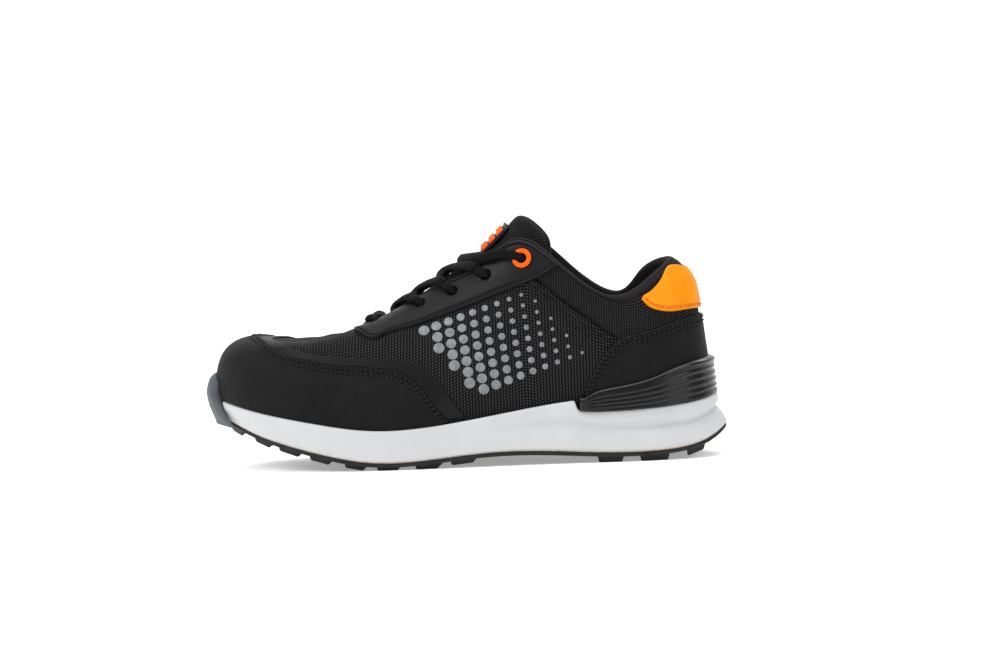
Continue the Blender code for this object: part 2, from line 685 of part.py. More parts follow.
def make_outsole():
    starts = column(LUGS, LUG_COLUMNS, "start")
    ends = column(LUGS, LUG_COLUMNS, "end")
    stops = np.sort(np.concatenate([starts, ends, SOLE_EXTRA_X]))
    turn = loop_turns(np.concatenate([[0], turn_at(stops), [HALF]]))
    out = sole("bottom_out", turn)
    joint = sole("joint_z", turn) - GAP
    loops = [sole_point(turn, out - RIM_ROUND, joint), sole_point(turn, out, joint - RIM_ROUND)]
    loops.append(sole_point(turn, out, joint - RUBBER + RIM_ROUND))
    loops.append(sole_point(turn, out - RIM_ROUND, joint - RUBBER))
    lanes = [edge for lane in LUG_LANES for edge in lane]
    verts, faces, cells = slab(loops, (), lanes)
    thing = solid("outsole", verts, faces, "rubber")
    work = bmesh.new()
    work.from_mesh(thing.data)
    work.faces.ensure_lookup_table()
    heights = {}
    for start, depth in zip(starts, column(LUGS, LUG_COLUMNS, "depth")):
        first = int(np.searchsorted(stops, start - STEP))
        for lane in range(len(LUG_LANES)):
            corners = {cells[first][2 * lane + 1], cells[first + 1][2 * lane + 2]}
            for face in work.faces:
                if corners <= {vert.index for vert in face.verts}:
                    heights[face] = depth
    for face, depth in heights.items():
        made = bmesh.ops.extrude_discrete_faces(work, faces=[face])["faces"][0]
        centre = made.calc_center_median()
        for vert in made.verts:
            inward = centre - vert.co
            inward.z = 0
            vert.co += inward.normalized() * LUG_TAPER * UNIT
            vert.co.z = max(0.0, vert.co.z - depth * UNIT)
    work.to_mesh(thing.data)
    work.free()
    boolean(thing, make_bumper(), "UNION")
    return thing


def make_bumper():
    """Turned-up front of the outsole, outside the midsole and the toe guard, narrower towards its lip."""
    share = np.linspace(-1, 1, BUMPER_COLUMNS)
    foot_turn = share * BUMPER_EDGE[1][0]
    foot = sole("joint_z", foot_turn) - GAP - RUBBER + RIM_ROUND
    root = sole("bottom_out", foot_turn)
    outer = [sole_point(foot_turn, root - RIM_ROUND, foot)]
    inner = [sole_point(foot_turn, root - BUMPER_ROOT, foot)]
    top = BUMPER_EDGE[0][-1] - BUMPER_CORNER * share ** 4
    for level in np.linspace(0, 1, BUMPER_ROWS):
        z = foot + RUBBER + (top - foot - RUBBER) * level
        turn = share * np.interp(z, *BUMPER_EDGE)
        back = surface(turn, rise_at(turn, z), np.full_like(turn, GUARD_THICK + OVERLAY_GAP + GAP))
        beside = sole_point(turn, midsole_out(turn, z) + BUMPER_CLEAR, z)
        inside = ((back - beside) * outward(turn)).sum(1) < 0
        back[inside] = beside[inside]
        back[:, 2] = z
        thick = np.interp(z, *BUMPER_SWELL) * (1 - BUMPER_THIN * share ** 2)
        inner.append(back)
        outer.append(back + outward(turn) * thick[:, None])
    return shell("bumper", np.array(outer), np.array(inner), "rubber")


def midsole_out(turn, z):
    """How far the midsole's side stands beyond the bite line at a height."""
    top = rim_line(turn)
    joint = sole("joint_z", turn)
    down = np.clip((top - z) / (top - joint), 0, 1)
    downs = np.concatenate([[0], column(SIDE, SIDE_COLUMNS, "down"), [1]])
    flares = np.concatenate([[0], column(SIDE, SIDE_COLUMNS, "flare"), [1]])
    top_out = sole("top_out", turn)
    return top_out + (sole("bottom_out", turn) - top_out) * np.interp(down, downs, flares)


def make_clip():
    """Heel stabiliser over the counter, with level ribs."""
    high = round_heel(CLIP_TOP, CLIP_BACK_Z)
    columns = loop_turns(TURNS)
    inside = columns[(columns > CLIP_TURN + CLIP_APART) & (columns < LOOP - CLIP_TURN - CLIP_APART)]
    turn = np.concatenate([[CLIP_TURN + CLIP_APART], inside, [LOOP - CLIP_TURN - CLIP_APART]])
    top_rise = np.interp(turn, high[:, 0], high[:, 1])
    foot = sole("clip_z", turn) + GAP
    low_rise = rise_at(turn, foot)
    levels = np.linspace(0, 1, 2 * CLIP_RIBS + 3)
    off = COUNTER_THICK + OVERLAY_GAP + GAP
    outer = []
    inner = []
    for i, level in enumerate(levels):
        rise = low_rise + (top_rise - low_rise) * level
        thick = CLIP_FOOT_THICK + (CLIP_TOP_THICK - CLIP_FOOT_THICK) * level
        thick -= CLIP_RIB if i % 2 == 1 else 0.0
        thick -= EDGE_SOFT if i in (0, len(levels) - 1) else 0.0
        inner.append(surface(turn, rise, np.full_like(turn, off)))
        outer.append(surface(turn, rise, np.full_like(turn, off + thick)))
    inner[0][:, 2] = foot
    outer[0][:, 2] = foot
    return shell("heel_clip", np.array(outer), np.array(inner), "clip")


def make_overlays():
    guard = line(both_sides(GUARD_FRONT, GUARD_SIDE))
    trim = line(both_sides(TRIM_FRONT, TRIM_SIDE))
    overlay("toe_guard", level_line(guard, FOOT_RISE), guard, GUARD_THICK, "guard")
    overlay("toe_trim", nudge(guard, TRIM_APART), trim, TRIM_THICK, "trim")
    stay = line(both_sides(EYESTAY_FRONT, EYESTAY_SIDE))
    stay[:, 1] = np.minimum(stay[:, 1], EDGE_RISE - TRIM_APART)
    eyestay = overlay("eyestay", stay, level_line(stay, EDGE_RISE), EYESTAY_THICK, "guard")
    counter = line(round_heel(COUNTER_SIDE, COUNTER_BACK_Z))
    overlay("heel_counter", level_line(counter, FOOT_RISE), counter, COUNTER_THICK, "guard")
    foot = line(round_heel(TAB_FOOT, TAB_FOOT_BACK_Z))
    top = line(round_heel(TAB_TOP, TAB_TOP_BACK_Z))
    overlay("heel_tab", foot, top, TAB_THICK, "tab")
    for name, side in (("lateral", 1), ("medial", -1)):
        seam = line(place(SEAM_LINE, 2))
        front = line(place([(x - SEAM_BACK, z - SEAM_DOWN) for x, z in SEAM_LINE], 2))
        overlay("quarter_seam_" + name, front * (side, 1), seam * (side, 1), SEAM_THICK, "mesh")
    return eyestay


def level_line(pairs, rise):
    """A line of one rise beside another line, with a point between each two columns of the upper."""
    lines = grid_turns()
    low, high = sorted((pairs[0, 0], pairs[-1, 0]))
    between = (lines[1:] + lines[:-1]) / 2
    turns = np.concatenate([[low], between[(between > low) & (between < high)], [high]])
    if pairs[0, 0] > pairs[-1, 0]:
        turns = turns[::-1]
    return np.stack([turns, np.full_like(turns, rise)], 1)


def grid_turns():
    """Turns of the upper's columns on both sides, past toe and heel."""
    return np.unique(np.concatenate([-TURNS, TURNS, LOOP - TURNS]))


def nudge(pairs, up):
    """A line moved up the last by a little rise."""
    moved = pairs.copy()
    moved[:, 1] += up
    return moved


def make_holes(upper, eyestay):
    """Lace holes through the eyestay and the wall, and the rings of the top pair."""
    angle = np.arange(HOLE_SIDES) * 2 * np.pi / HOLE_SIDES
    round_step = np.arange(RING_SIDES) * 2 * np.pi / RING_SIDES
    turned = ((RING_BORE, 0.0), (RING_RADIUS, 0.0), (RING_RADIUS, RING_THICK / 2),
              (RING_RADIUS - RING_CHAMFER, RING_THICK), (RING_BORE + RING_CHAMFER, RING_THICK),
              (RING_BORE, RING_THICK / 2))
    for side in (1, -1):
        for index, (turn, rise) in enumerate(HOLES):
            centre = skin(side * turn, rise)
            axis = normal(side * turn, rise)
            first = np.cross(axis, (0, 0, 1))
            first /= np.linalg.norm(first)
            second = np.cross(axis, first)
            ring = np.cos(angle)[:, None] * first + np.sin(angle)[:, None] * second
            for target in (upper, eyestay):
                ends = [centre + axis * reach + ring * HOLE_RADIUS for reach in HOLE_REACH]
                faces = quads(2, HOLE_SIDES, 0, False, True)
                faces += [tuple(range(HOLE_SIDES)), tuple(range(2 * HOLE_SIDES - 1, HOLE_SIDES - 1, -1))]
                boolean(target, solid("hole", np.concatenate(ends), faces, "lace"), "DIFFERENCE")
            if index == len(HOLES) - 1:
                base = centre + axis * (EYESTAY_THICK + OVERLAY_GAP + GAP)
                spokes = np.cos(round_step)[:, None] * first + np.sin(round_step)[:, None] * second
                rings = [base + spokes * radius + axis * height for radius, height in turned]
                name = "eyelet_lateral" if side > 0 else "eyelet_medial"
                solid(name, np.concatenate(rings), quads(len(turned), RING_SIDES, 0, True, True), "ring")


def tongue_grid():
    """Outer points of the tongue: stations along the throat, places across it."""
    grid = []
    for turn, arch in TONGUE_STATIONS:
        sides = []
        for side in (1, -1):
            rises = np.array(TONGUE_UNDER)
            turns = np.full(len(rises), side * turn)
            sides.append(surface(turns, rises, -wall(np.abs(turns), rises) - TONGUE_CLEAR))
        left = sides[0][-1]
        right = sides[1][-1]
        middle = []
        for share in TONGUE_ACROSS:
            point = left + (right - left) * share
            point[2] += arch * 4 * share * (1 - share)
            middle.append(point)
        grid.append(np.concatenate([sides[0], middle, sides[1][::-1]]))
    last = grid[-1]
    end = np.array([(x, -y, z) for x, y, z in TONGUE_END[:0:-1]] + list(TONGUE_END))
    for share in TONGUE_REACH:
        more = last + (end - last) * share
        more[:, 2] = last[:, 2] + (end - last)[:, 2] * np.sin(share * np.pi / 2)
        grid.append(more)
    return np.array(grid)


def grid_normals(grid):
    """Upward directions of a grid of points."""
    up = np.cross(np.gradient(grid, axis=1), np.gradient(grid, axis=0))
    up *= np.sign(up[..., 2].mean())
    return up / np.linalg.norm(up, axis=-1)[..., None]


def make_tongue(outer):
    rows = len(outer)
    thick = TONGUE_THIN + (TONGUE_THICK - TONGUE_THIN) * smooth(1, rows - 4, np.arange(rows))
    thick[-1] = TONGUE_THIN
    edge = np.ones(outer.shape[1])
    edge[[0, -1]] = TONGUE_EDGE
    inner = outer - grid_normals(outer) * (thick[:, None] * edge)[..., None]
    return shell("tongue", outer, inner, "lining")


def tongue_middle(outer, x):
    """Point of the tongue's middle line at x."""
    ridge = outer[:, outer.shape[1] // 2]
    return np.array([np.interp(x, ridge[:, 0], ridge[:, k]) for k in range(3)])


def make_label(outer):
    """Plain rubber tab on the tongue's own grid, below its free end."""
    back = len(TONGUE_STATIONS) - 2
    middle = outer.shape[1] // 2
    across = slice(middle - 1, middle + 2)
    ups = grid_normals(outer)[:, across]
    front = outer[back - 1, across] + (outer[back] - outer[back - 1])[across] * LABEL_FROM
    base = np.array([front, outer[back, across], outer[back + 1, across]])
    lift = np.array([ups[back - 1] * (1 - LABEL_FROM) + ups[back] * LABEL_FROM, ups[back], ups[back + 1]])
    return shell("tongue_label", base + lift * (GAP + LABEL_THICK), base + lift * GAP, "rubber")


def make_lace(outer):
    """Bar, crossings and top pair of the lace, each one solid, resting on eyestay and tongue."""
    high = OVERLAY_GAP + EYESTAY_THICK + LACE_LIFT + LACE_THICK / 2

    def from_hole(side, index, first):
        turn, rise = HOLES[index]
        stops = []
        for share in (first, (1 + first) / 2, 1.0):
            here = (turn + (LACE_EDGE[index] - turn) * share) * side
            level = rise + (1 - rise) * share
            lift = high + LACE_OVER_EDGE * (share - first) / (1 - first)
            stops.append((surface(here, level, lift), normal(here, level)))
        return stops

    def over_tongue(x):
        up = np.array([0, 0, 1.0])
        return tongue_middle(outer, x) + up * (LACE_ON_TONGUE + LACE_THICK / 2), up

    def cord(name, stops, others):
        made = []
        for points in [stops] + others:
            path = line3([point for point, _ in points], LACE_STEPS)
            ups = line3([up for _, up in points], LACE_STEPS)
            verts, faces = strip(path, ups, LACE_WIDTH, LACE_THICK, LACE_SIDES)
            made.append(solid(name if not made else name + "_other", verts, faces, "lace"))
        for other in made[1:]:
            boolean(made[0], other, "UNION")

    bar = from_hole(1, 0, 0.0) + [over_tongue(BAR_X)]
    cord("lace_bar", bar + from_hole(-1, 0, 0.0)[::-1], [])
    for index, x in enumerate(CROSS_X, 1):
        arms = []
        for side in (1, -1):
            middle, up = over_tongue(x)
            middle[2] += LACE_STACK if side > 0 else 0.0
            far = surface(-side * CROSS_FAR[index - 1], 1.0, -WALL - TONGUE_CLEAR)
            end = middle + (far - middle) * CROSS_END
            end[2] += LACE_ON_TONGUE + LACE_THICK / 2 - LACE_LIFT
            arms.append(from_hole(side, index, 0.0) + [(middle, up), (end, up)])
        cord("lace_cross_%d" % index, arms[0], arms[1:])
    ring = len(HOLES) - 1
    top = from_hole(1, ring, TOP_LACE_FROM) + [over_tongue(TOP_LACE_X)]
    cord("lace_top", top + from_hole(-1, ring, TOP_LACE_FROM)[::-1], [])


def line3(points, count):
    """Even steps along the cubic through points in space."""
    controls = open_controls(np.asarray(points, float))
    spans = len(points) - 1
    where = np.linspace(0, spans, count)
    cell = np.minimum(where.astype(int), spans - 1)
    weights = basis(where - cell)
    return sum(weights[k][:, None] * controls[cell + k] for k in range(4))


def make_insole():
    turn = loop_turns(np.linspace(0, HALF, HALF * 2 + 1))
    inset = SEAT_IN + WALL + INSOLE_CLEAR
    floor = sole("floor_z", turn) + GAP
    loops = []
    for inward, up in ((INSOLE_ROUND, 0.0), (0.0, INSOLE_ROUND), (INSOLE_ROUND, INSOLE_THICK)):
        loops.append(sole_point(turn, np.full_like(turn, -inset - inward), floor + up))
    verts, faces, _ = slab(loops, (), (0.5,))
    return solid("insole", verts, faces, "lining")


def clear_scene():
    for thing in list(bpy.data.objects):
        bpy.data.objects.remove(thing)


def main():
    clear_scene()
    upper = make_upper()
    make_midsole()
    make_outsole()
    make_clip()
    eyestay = make_overlays()
    make_holes(upper, eyestay)
    outer = tongue_grid()
    make_tongue(outer)
    make_label(outer)
    make_lace(outer)
    make_insole()
    for thing in bpy.data.objects:
        thing.data.shade_smooth()
        thing.data.set_sharp_from_angle(angle=SHARP_ANGLE)


if __name__ == "__main__":
    main()
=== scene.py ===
"""Left safety shoe of the trainer cut, dressed for a studio picture: toe at -X, lateral side at -Y, +Z up.

Lengths are in millimetres and put() writes the meshes in metres. A place on the upper is a pair: its
turn counts the rows of LAST from the toe tip (0) to the heel tip (11), negative along the medial side,
and its rise runs from the bite line at the sole (0) to the edge of throat and collar (1).
"""
from math import cos, pi, radians, sin

import bmesh
import bpy
import numpy as np
from mathutils import Matrix, Vector


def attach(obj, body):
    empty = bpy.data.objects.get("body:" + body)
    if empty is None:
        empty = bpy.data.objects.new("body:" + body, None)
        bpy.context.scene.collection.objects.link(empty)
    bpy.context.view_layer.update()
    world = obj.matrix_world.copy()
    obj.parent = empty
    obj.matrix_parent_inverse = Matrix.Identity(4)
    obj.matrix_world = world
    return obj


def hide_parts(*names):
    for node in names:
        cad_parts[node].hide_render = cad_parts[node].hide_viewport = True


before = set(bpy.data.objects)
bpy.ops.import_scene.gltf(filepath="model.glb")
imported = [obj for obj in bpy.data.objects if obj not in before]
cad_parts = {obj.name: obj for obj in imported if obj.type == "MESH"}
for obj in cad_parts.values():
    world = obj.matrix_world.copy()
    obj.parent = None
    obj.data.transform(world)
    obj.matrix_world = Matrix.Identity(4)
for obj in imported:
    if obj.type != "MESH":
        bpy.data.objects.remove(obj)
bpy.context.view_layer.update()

# A millimetre in metres, the gap between neighbouring parts and the gap under an overlay.
UNIT = 0.001
GAP = 0.3
OVERLAY_GAP = 0.45

# Sections of the last from toe tip to heel tip. The bite line's place, the side wall's bulge and
# height, then shoulder, crown and vamp as a share of the way from bite to edge and a height.
LAST_COLUMNS = ("bite_x", "lateral_y", "medial_y", "bite_z", "wall_out", "wall_z",
                "shoulder_in", "shoulder_z", "crown_in", "crown_z", "vamp_in", "vamp_z")
LAST = {
    "toe tip": (-144.3, 6.0, 6.0, 41.0, 0.2, 50.0, 0.055, 67.0, 0.27, 74.4, 0.60, 70.8),
    "toe shoulder": (-133.5, -20.0, 31.0, 38.6, 1.0, 49.0, 0.05, 65.0, 0.26, 73.2, 0.60, 72.0),
    "toe corner": (-112.0, -38.0, 44.5, 33.4, 1.8, 46.0, 0.05, 60.5, 0.25, 71.3, 0.59, 74.8),
    "toes": (-82.0, -46.5, 48.5, 27.3, 2.2, 41.5, 0.06, 57.0, 0.27, 71.0, 0.61, 80.0),
    "ball": (-50.0, -49.5, 49.0, 22.8, 2.3, 38.5, 0.08, 56.0, 0.31, 72.5, 0.65, 86.0),
    "fore waist": (-18.0, -48.0, 45.0, 24.0, 2.0, 41.0, 0.09, 59.0, 0.33, 77.0, 0.67, 93.0),
    "waist": (15.0, -44.0, 39.5, 28.6, 1.8, 47.0, 0.10, 66.0, 0.34, 85.0, 0.67, 101.5),
    "rear waist": (48.0, -39.5, 36.0, 32.0, 1.8, 52.0, 0.12, 72.0, 0.36, 92.0, 0.67, 111.0),
    "heel front": (80.0, -36.5, 34.5, 30.0, 1.8, 47.0, 0.14, 64.0, 0.36, 80.0, 0.67, 96.0),
    "heel": (110.0, -32.5, 31.5, 31.0, 1.2, 46.0, 0.14, 60.0, 0.32, 73.0, 0.62, 84.5),
    "heel corner": (131.5, -20.5, 20.0, 33.6, 0.6, 49.0, 0.10, 64.0, 0.24, 80.0, 0.48, 94.0),
    "heel tip": (138.8, 0.0, 0.0, 36.0, 0.3, 51.0, 0.08, 67.0, 0.20, 85.0, 0.40, 101.5),
}

# Edge of the throat and collar, a row for each section of the last.
EDGE_COLUMNS = ("edge_x", "lateral_y", "medial_y", "edge_z")
EDGE = {
    "throat front": (-53.0, 1.5, 1.5, 78.0),
    "throat curve": (-52.0, -5.5, 8.5, 78.6),
    "throat corner": (-48.0, -10.0, 13.0, 81.0),
    "first hole": (-39.5, -12.5, 15.5, 86.0),
    "second hole": (-25.0, -14.5, 17.5, 95.0),
    "third hole": (-7.0, -17.0, 19.5, 104.0),
    "fourth hole": (13.0, -20.5, 22.5, 114.5),
    "throat top": (36.0, -26.5, 27.5, 127.5),
    "collar front": (63.0, -32.5, 32.5, 108.0),
    "collar dip": (91.0, -31.0, 31.0, 93.0),
    "collar rise": (108.5, -20.0, 20.0, 105.8),
    "collar back": (122.5, 0.0, 0.0, 113.5),
}

# The collar's rise to the heel lies lower on the lateral side than on the medial side.
COLLAR_RISE_TURN = 10
COLLAR_RISE_LATERAL = (3.5, 2.8, -1.6)
COLLAR_RISE_MEDIAL = (-1.2, 1.1, 1.6)

# Sole: its side beyond the bite line at top and bottom, the rim's line, the line under the heel
# clip, the joint with the outsole, the floor under the insole and the depth of the heel's scoop.
SOLE_COLUMNS = ("top_out", "bottom_out", "rim_z", "clip_z", "joint_z", "floor_z", "scoop")
SOLE = {
    "toe tip": (1.8, -2.2, 40.5, 40.5, 28.5, 33.5, 0.0),
    "toe shoulder": (2.4, -0.5, 38.2, 38.2, 27.0, 31.0, 0.0),
    "toe corner": (3.2, 2.6, 33.2, 33.2, 19.8, 25.0, 0.0),
    "toes": (3.8, 4.2, 27.2, 27.2, 11.0, 19.0, 0.0),
    "ball": (4.0, 4.7, 22.7, 24.0, 5.0, 15.2, 0.0),
    "fore waist": (3.6, 4.4, 23.9, 27.0, 5.7, 15.8, 0.0),
    "waist": (3.2, 4.0, 28.5, 29.5, 8.4, 19.3, 0.2),
    "rear waist": (3.4, 4.4, 33.7, 30.2, 8.1, 23.3, 1.0),
    "heel front": (4.8, 5.8, 37.5, 29.8, 6.3, 25.8, 1.7),
    "heel": (5.4, 6.8, 41.0, 30.8, 6.3, 27.0, 2.0),
    "heel corner": (6.0, 8.6, 44.0, 33.4, 10.6, 27.8, 2.0),
    "heel tip": (6.3, 11.0, 46.0, 36.0, 18.0, 28.2, 1.8),
}
CLIP_TURN = 7.52

# Wall of the upper and the padding of its collar.
WALL = 2.2
COLLAR_PAD = 6.0
PAD_FROM_TURN = 6.6
PAD_FULL_TURN = 7.7
PAD_LOW = 0.50
PAD_FULL = 0.80
PAD_AT_EDGE = 0.60
RIM_RISE = 0.5
SEAT_IN = 1.6

# Midsole side: share of its height, share of the step from top to bottom outline, share of scoop.
SIDE_COLUMNS = ("down", "flare", "scoop")
SIDE = {
    "band": (0.10, 0.02, 0.0),
    "crease": (0.30, 0.10, 0.0),
    "scoop": (0.42, 0.25, 1.0),
    "belly": (0.68, 0.75, 0.35),
    "foot": (0.93, 1.04, 0.0),
}
RIM_ROUND = 0.7

# Outsole and its tread: rows of lugs by their span along the sole and their depth.
RUBBER = 2.5
LUGS = {
    "toe": (-139.0, -128.0, 3.0),
    "toe second": (-119.5, -109.5, 2.6),
    "toe third": (-104.5, -92.5, 2.6),
    "toes": (-86.5, -75.0, 2.6),
    "ball front": (-66.5, -55.5, 2.6),
    "ball": (-48.5, -36.0, 2.6),
    "ball rear": (-27.0, -13.5, 3.2),
    "waist": (-7.0, 6.5, 2.4),
    "heel front": (76.0, 90.5, 3.8),
    "heel": (99.5, 115.0, 3.8),
    "heel rear": (123.3, 131.5, 3.4),
}
LUG_LANES = ((0.02, 0.34), (0.40, 0.60), (0.66, 0.98))
LUG_TAPER = 1.44
LUG_SUNK = 0.6
LUG_BEVEL = 0.45

# Overlays: thickness each, the seam strip's width back and down, and the overlays' lines drawn on the side
# in x and z or on top in x and y.
GUARD_THICK = 1.6
TRIM_THICK = 0.7
EYESTAY_THICK = 1.4
COUNTER_THICK = 1.4
TAB_THICK = 1.3
SEAM_THICK = 0.8
SEAM_BACK = 4.2
SEAM_DOWN = 5.0
GUARD_FRONT = ((-119.0, 2.0), (-117.5, -10.0), (-113.0, -20.0))
GUARD_SIDE = ((-104.0, 67.3), (-90.0, 63.5), (-73.0, 60.0), (-56.0, 58.3), (-40.0, 56.3), (-30.5, 53.0),
              (-22.5, 46.5), (-15.5, 37.0), (-8.5, 27.5))
TRIM_FRONT = ((-112.0, 2.0), (-110.5, -10.5), (-105.5, -21.0))
TRIM_SIDE = ((-94.0, 68.5), (-78.0, 65.3), (-58.0, 63.6), (-38.0, 62.3), (-25.0, 59.6), (-15.5, 53.2),
             (-8.5, 45.0), (-2.5, 36.0), (2.5, 28.5))
EYESTAY_FRONT = ((-64.5, 1.5), (-63.5, -9.0), (-60.0, -17.5))
EYESTAY_SIDE = ((-53.5, 75.0), (-42.0, 76.6), (-28.0, 80.0), (-4.0, 87.7), (20.0, 96.3),
                (37.0, 102.3), (50.0, 108.0), (58.0, 112.6))
COUNTER_SIDE = ((71.0, 41.5), (77.0, 52.5), (83.7, 62.0), (90.7, 68.0), (100.0, 71.8), (118.0, 76.5),
                (130.0, 79.6))
COUNTER_BACK_Z = 81.5
TAB_FOOT = ((103.8, 91.3), (107.4, 87.5), (112.0, 85.1), (117.5, 83.9), (123.0, 83.8), (131.0, 84.4))
TAB_TOP = ((104.8, 93.2), (109.5, 95.8), (114.2, 100.8), (116.5, 105.0), (118.5, 108.5),
           (120.9, 109.4), (124.8, 108.9))
TAB_FOOT_BACK_Z = 84.5
TAB_TOP_BACK_Z = 107.4
SEAM_LINE = ((41.8, 105.0), (55.0, 94.6), (66.0, 86.0), (76.0, 78.3), (88.5, 69.2))

# Lace holes by turn and rise, the top one in its ring, then the flat-oval lace: its width and thickness,
# the turns where its runs pass the throat's edge or go under the other side, and where they cross in x.
HOLES = ((3.15, 0.855), (4.42, 0.855), (5.27, 0.86), (6.11, 0.865), (6.94, 0.865))
HOLE_RADIUS = 2.3
RING_RADIUS = 5.6
RING_BORE = 2.9
RING_RISE = 0.93
RING_LIFT = 0.35
LACE_WIDTH = 6.0
LACE_ROUND = 3.5
BAR_X = -48.0
LACE_EDGE = (2.05, 3.75, 4.78, 5.76, 6.10)
CROSS_X = (-37.5, -24.0, -8.0)
CROSS_FAR = (2.75, 3.42, 4.30)
TOP_LACE_X = 3.0

# Tongue: turn and arch over the throat's edges at each station, then the rows of its free end as a
# share of its length and the end's outline from its middle to one side.
TONGUE_STATIONS = ((1.0, 1.5), (1.5, 2.0), (2.0, 2.8), (2.5, 3.8), (3.0, 4.4), (3.5, 4.8),
                   (4.0, 5.4), (4.5, 6.3), (5.0, 7.4), (5.5, 8.5), (6.0, 9.8), (6.5, 11.0))
TONGUE_UNDER = (0.80, 0.90, 1.0)
TONGUE_ACROSS = (0.25, 0.5, 0.75)
TONGUE_CLEAR = 0.9
TONGUE_THIN = 3.5
TONGUE_THICK = 8.0
TONGUE_REACH = (0.30, 0.60, 0.85, 1.0)
TONGUE_END = ((37.5, 0.0, 141.0), (40.5, 9.5, 139.5), (45.5, 16.5, 133.2), (48.5, 20.5, 125.0),
              (48.5, 22.5, 115.0))
LABEL_THICK = 2.4

# Insole: thickness, room at its side, and the rounding of its lower and upper edge.
INSOLE_THICK = 5.0
INSOLE_CLEAR = 0.4
INSOLE_ROUND = 0.8
INSOLE_SOFT = 1.2


def column(table, names, name):
    """One named column of a table, toe to heel."""
    return np.array([row[names.index(name)] for row in table.values()])


def unit(vectors):
    """The same directions with length one."""
    return vectors / np.linalg.norm(vectors, axis=-1)[..., None]


def basis(t):
    """Weights of the four control values of a uniform cubic."""
    second = 3 * t ** 3 - 6 * t ** 2 + 4
    third = -3 * t ** 3 + 3 * t ** 2 + 3 * t + 1
    return np.stack([(1 - t) ** 3, second, third, t ** 3]) / 6


def closed_controls(values):
    """Control values of the closed cubic that passes through the values."""
    eye = np.eye(len(values))
    system = (4 * eye + np.roll(eye, 1, 0) + np.roll(eye, -1, 0)) / 6
    return np.linalg.solve(system, values.reshape(len(values), -1)).reshape(values.shape)


def open_controls(values):
    """Control values of the cubic with straight ends that passes through the values."""
    count = len(values)
    system = np.eye(count)
    for i in range(1, count - 1):
        system[i, i - 1:i + 2] = np.array([1, 4, 1]) / 6
    inner = np.linalg.solve(system, values.reshape(count, -1)).reshape(values.shape)
    return np.concatenate([2 * inner[:1] - inner[1:2], inner, 2 * inner[-1:] - inner[-2:-1]])


def around(lateral, medial):
    """Toe to heel along the lateral side, then back along the medial side."""
    return np.concatenate([lateral, medial[-2:0:-1]])


HALF = len(LAST) - 1
LOOP = 2 * HALF


def closed_value(values, turn):
    """The closed cubic through a value for each section, at any turn."""
    controls = closed_controls(around(values, values))
    cell = np.floor(turn).astype(int)
    weights = basis(turn - cell)
    return sum(weights[k] * controls[(cell - 1 + k) % LOOP] for k in range(4))


def sole(name, turn):
    """A column of SOLE at any turn."""
    return closed_value(column(SOLE, SOLE_COLUMNS, name), np.asarray(turn, float))


def last_net():
    """Control net of the last: sections around it, levels up it."""
    last = {name: column(LAST, LAST_COLUMNS, name) for name in LAST_COLUMNS}
    edge = {name: column(EDGE, EDGE_COLUMNS, name) for name in EDGE_COLUMNS}
    both = {name: around(values, values) for name, values in last.items()}
    bite = np.stack([both["bite_x"], around(last["lateral_y"], last["medial_y"]), both["bite_z"]], 1)
    top_x = around(edge["edge_x"], edge["edge_x"])
    top_y = around(edge["lateral_y"], edge["medial_y"])
    top = np.stack([top_x, top_y, around(edge["edge_z"], edge["edge_z"])], 1)
    along = np.roll(bite, -1, 0) - np.roll(bite, 1, 0)
    away = unit(np.stack([along[:, 1], -along[:, 0]], 1))
    bulge = bite.copy()
    bulge[:, :2] += away * both["wall_out"][:, None]
    bulge[:, 2] = both["wall_z"]
    levels = [bite, bulge]
    for name in ("shoulder", "crown", "vamp"):
        points = bite + (top - bite) * both[name + "_in"][:, None]
        points[:, 2] = both[name + "_z"]
        levels.append(points)
    top[COLLAR_RISE_TURN] += COLLAR_RISE_LATERAL
    top[LOOP - COLLAR_RISE_TURN] += COLLAR_RISE_MEDIAL
    levels.append(top)
    net = np.stack(levels, 1)
    ringed = closed_controls(net)
    return np.swapaxes(open_controls(np.swapaxes(ringed, 0, 1)), 0, 1)


NET = last_net()
SPANS = NET.shape[1] - 3
STEP = 1e-3


def skin(turn, rise):
    """Point of the last's surface."""
    turn, rise = np.broadcast_arrays(np.asarray(turn, float), np.asarray(rise, float))
    cell = np.floor(turn).astype(int)
    level = np.clip(np.floor(rise * SPANS).astype(int), 0, SPANS - 1)
    weight_u = basis(turn - cell)
    weight_v = basis(rise * SPANS - level)
    point = np.zeros(turn.shape + (3,))
    for i in range(4):
        for j in range(4):
            point += (weight_u[i] * weight_v[j])[..., None] * NET[(cell - 1 + i) % LOOP, level + j]
    return point


def normal(turn, rise):
    """Outward direction of the last's surface."""
    turn = np.asarray(turn, float)
    rise = np.asarray(rise, float)
    by_turn = skin(turn + STEP, rise) - skin(turn - STEP, rise)
    by_rise = skin(turn, np.minimum(rise + STEP, 1)) - skin(turn, np.maximum(rise - STEP, 0))
    return unit(np.cross(by_turn, by_rise))


def surface(turn, rise, out):
    """Point at a distance off the last's surface."""
    return skin(turn, rise) + normal(turn, rise) * np.asarray(out, float)[..., None]


def outward(turn):
    """Level direction away from the bite line."""
    turn = np.asarray(turn, float)
    along = skin(turn + STEP, 0.0) - skin(turn - STEP, 0.0)
    return unit(np.stack([along[..., 1], -along[..., 0], 0 * along[..., 0]], -1))


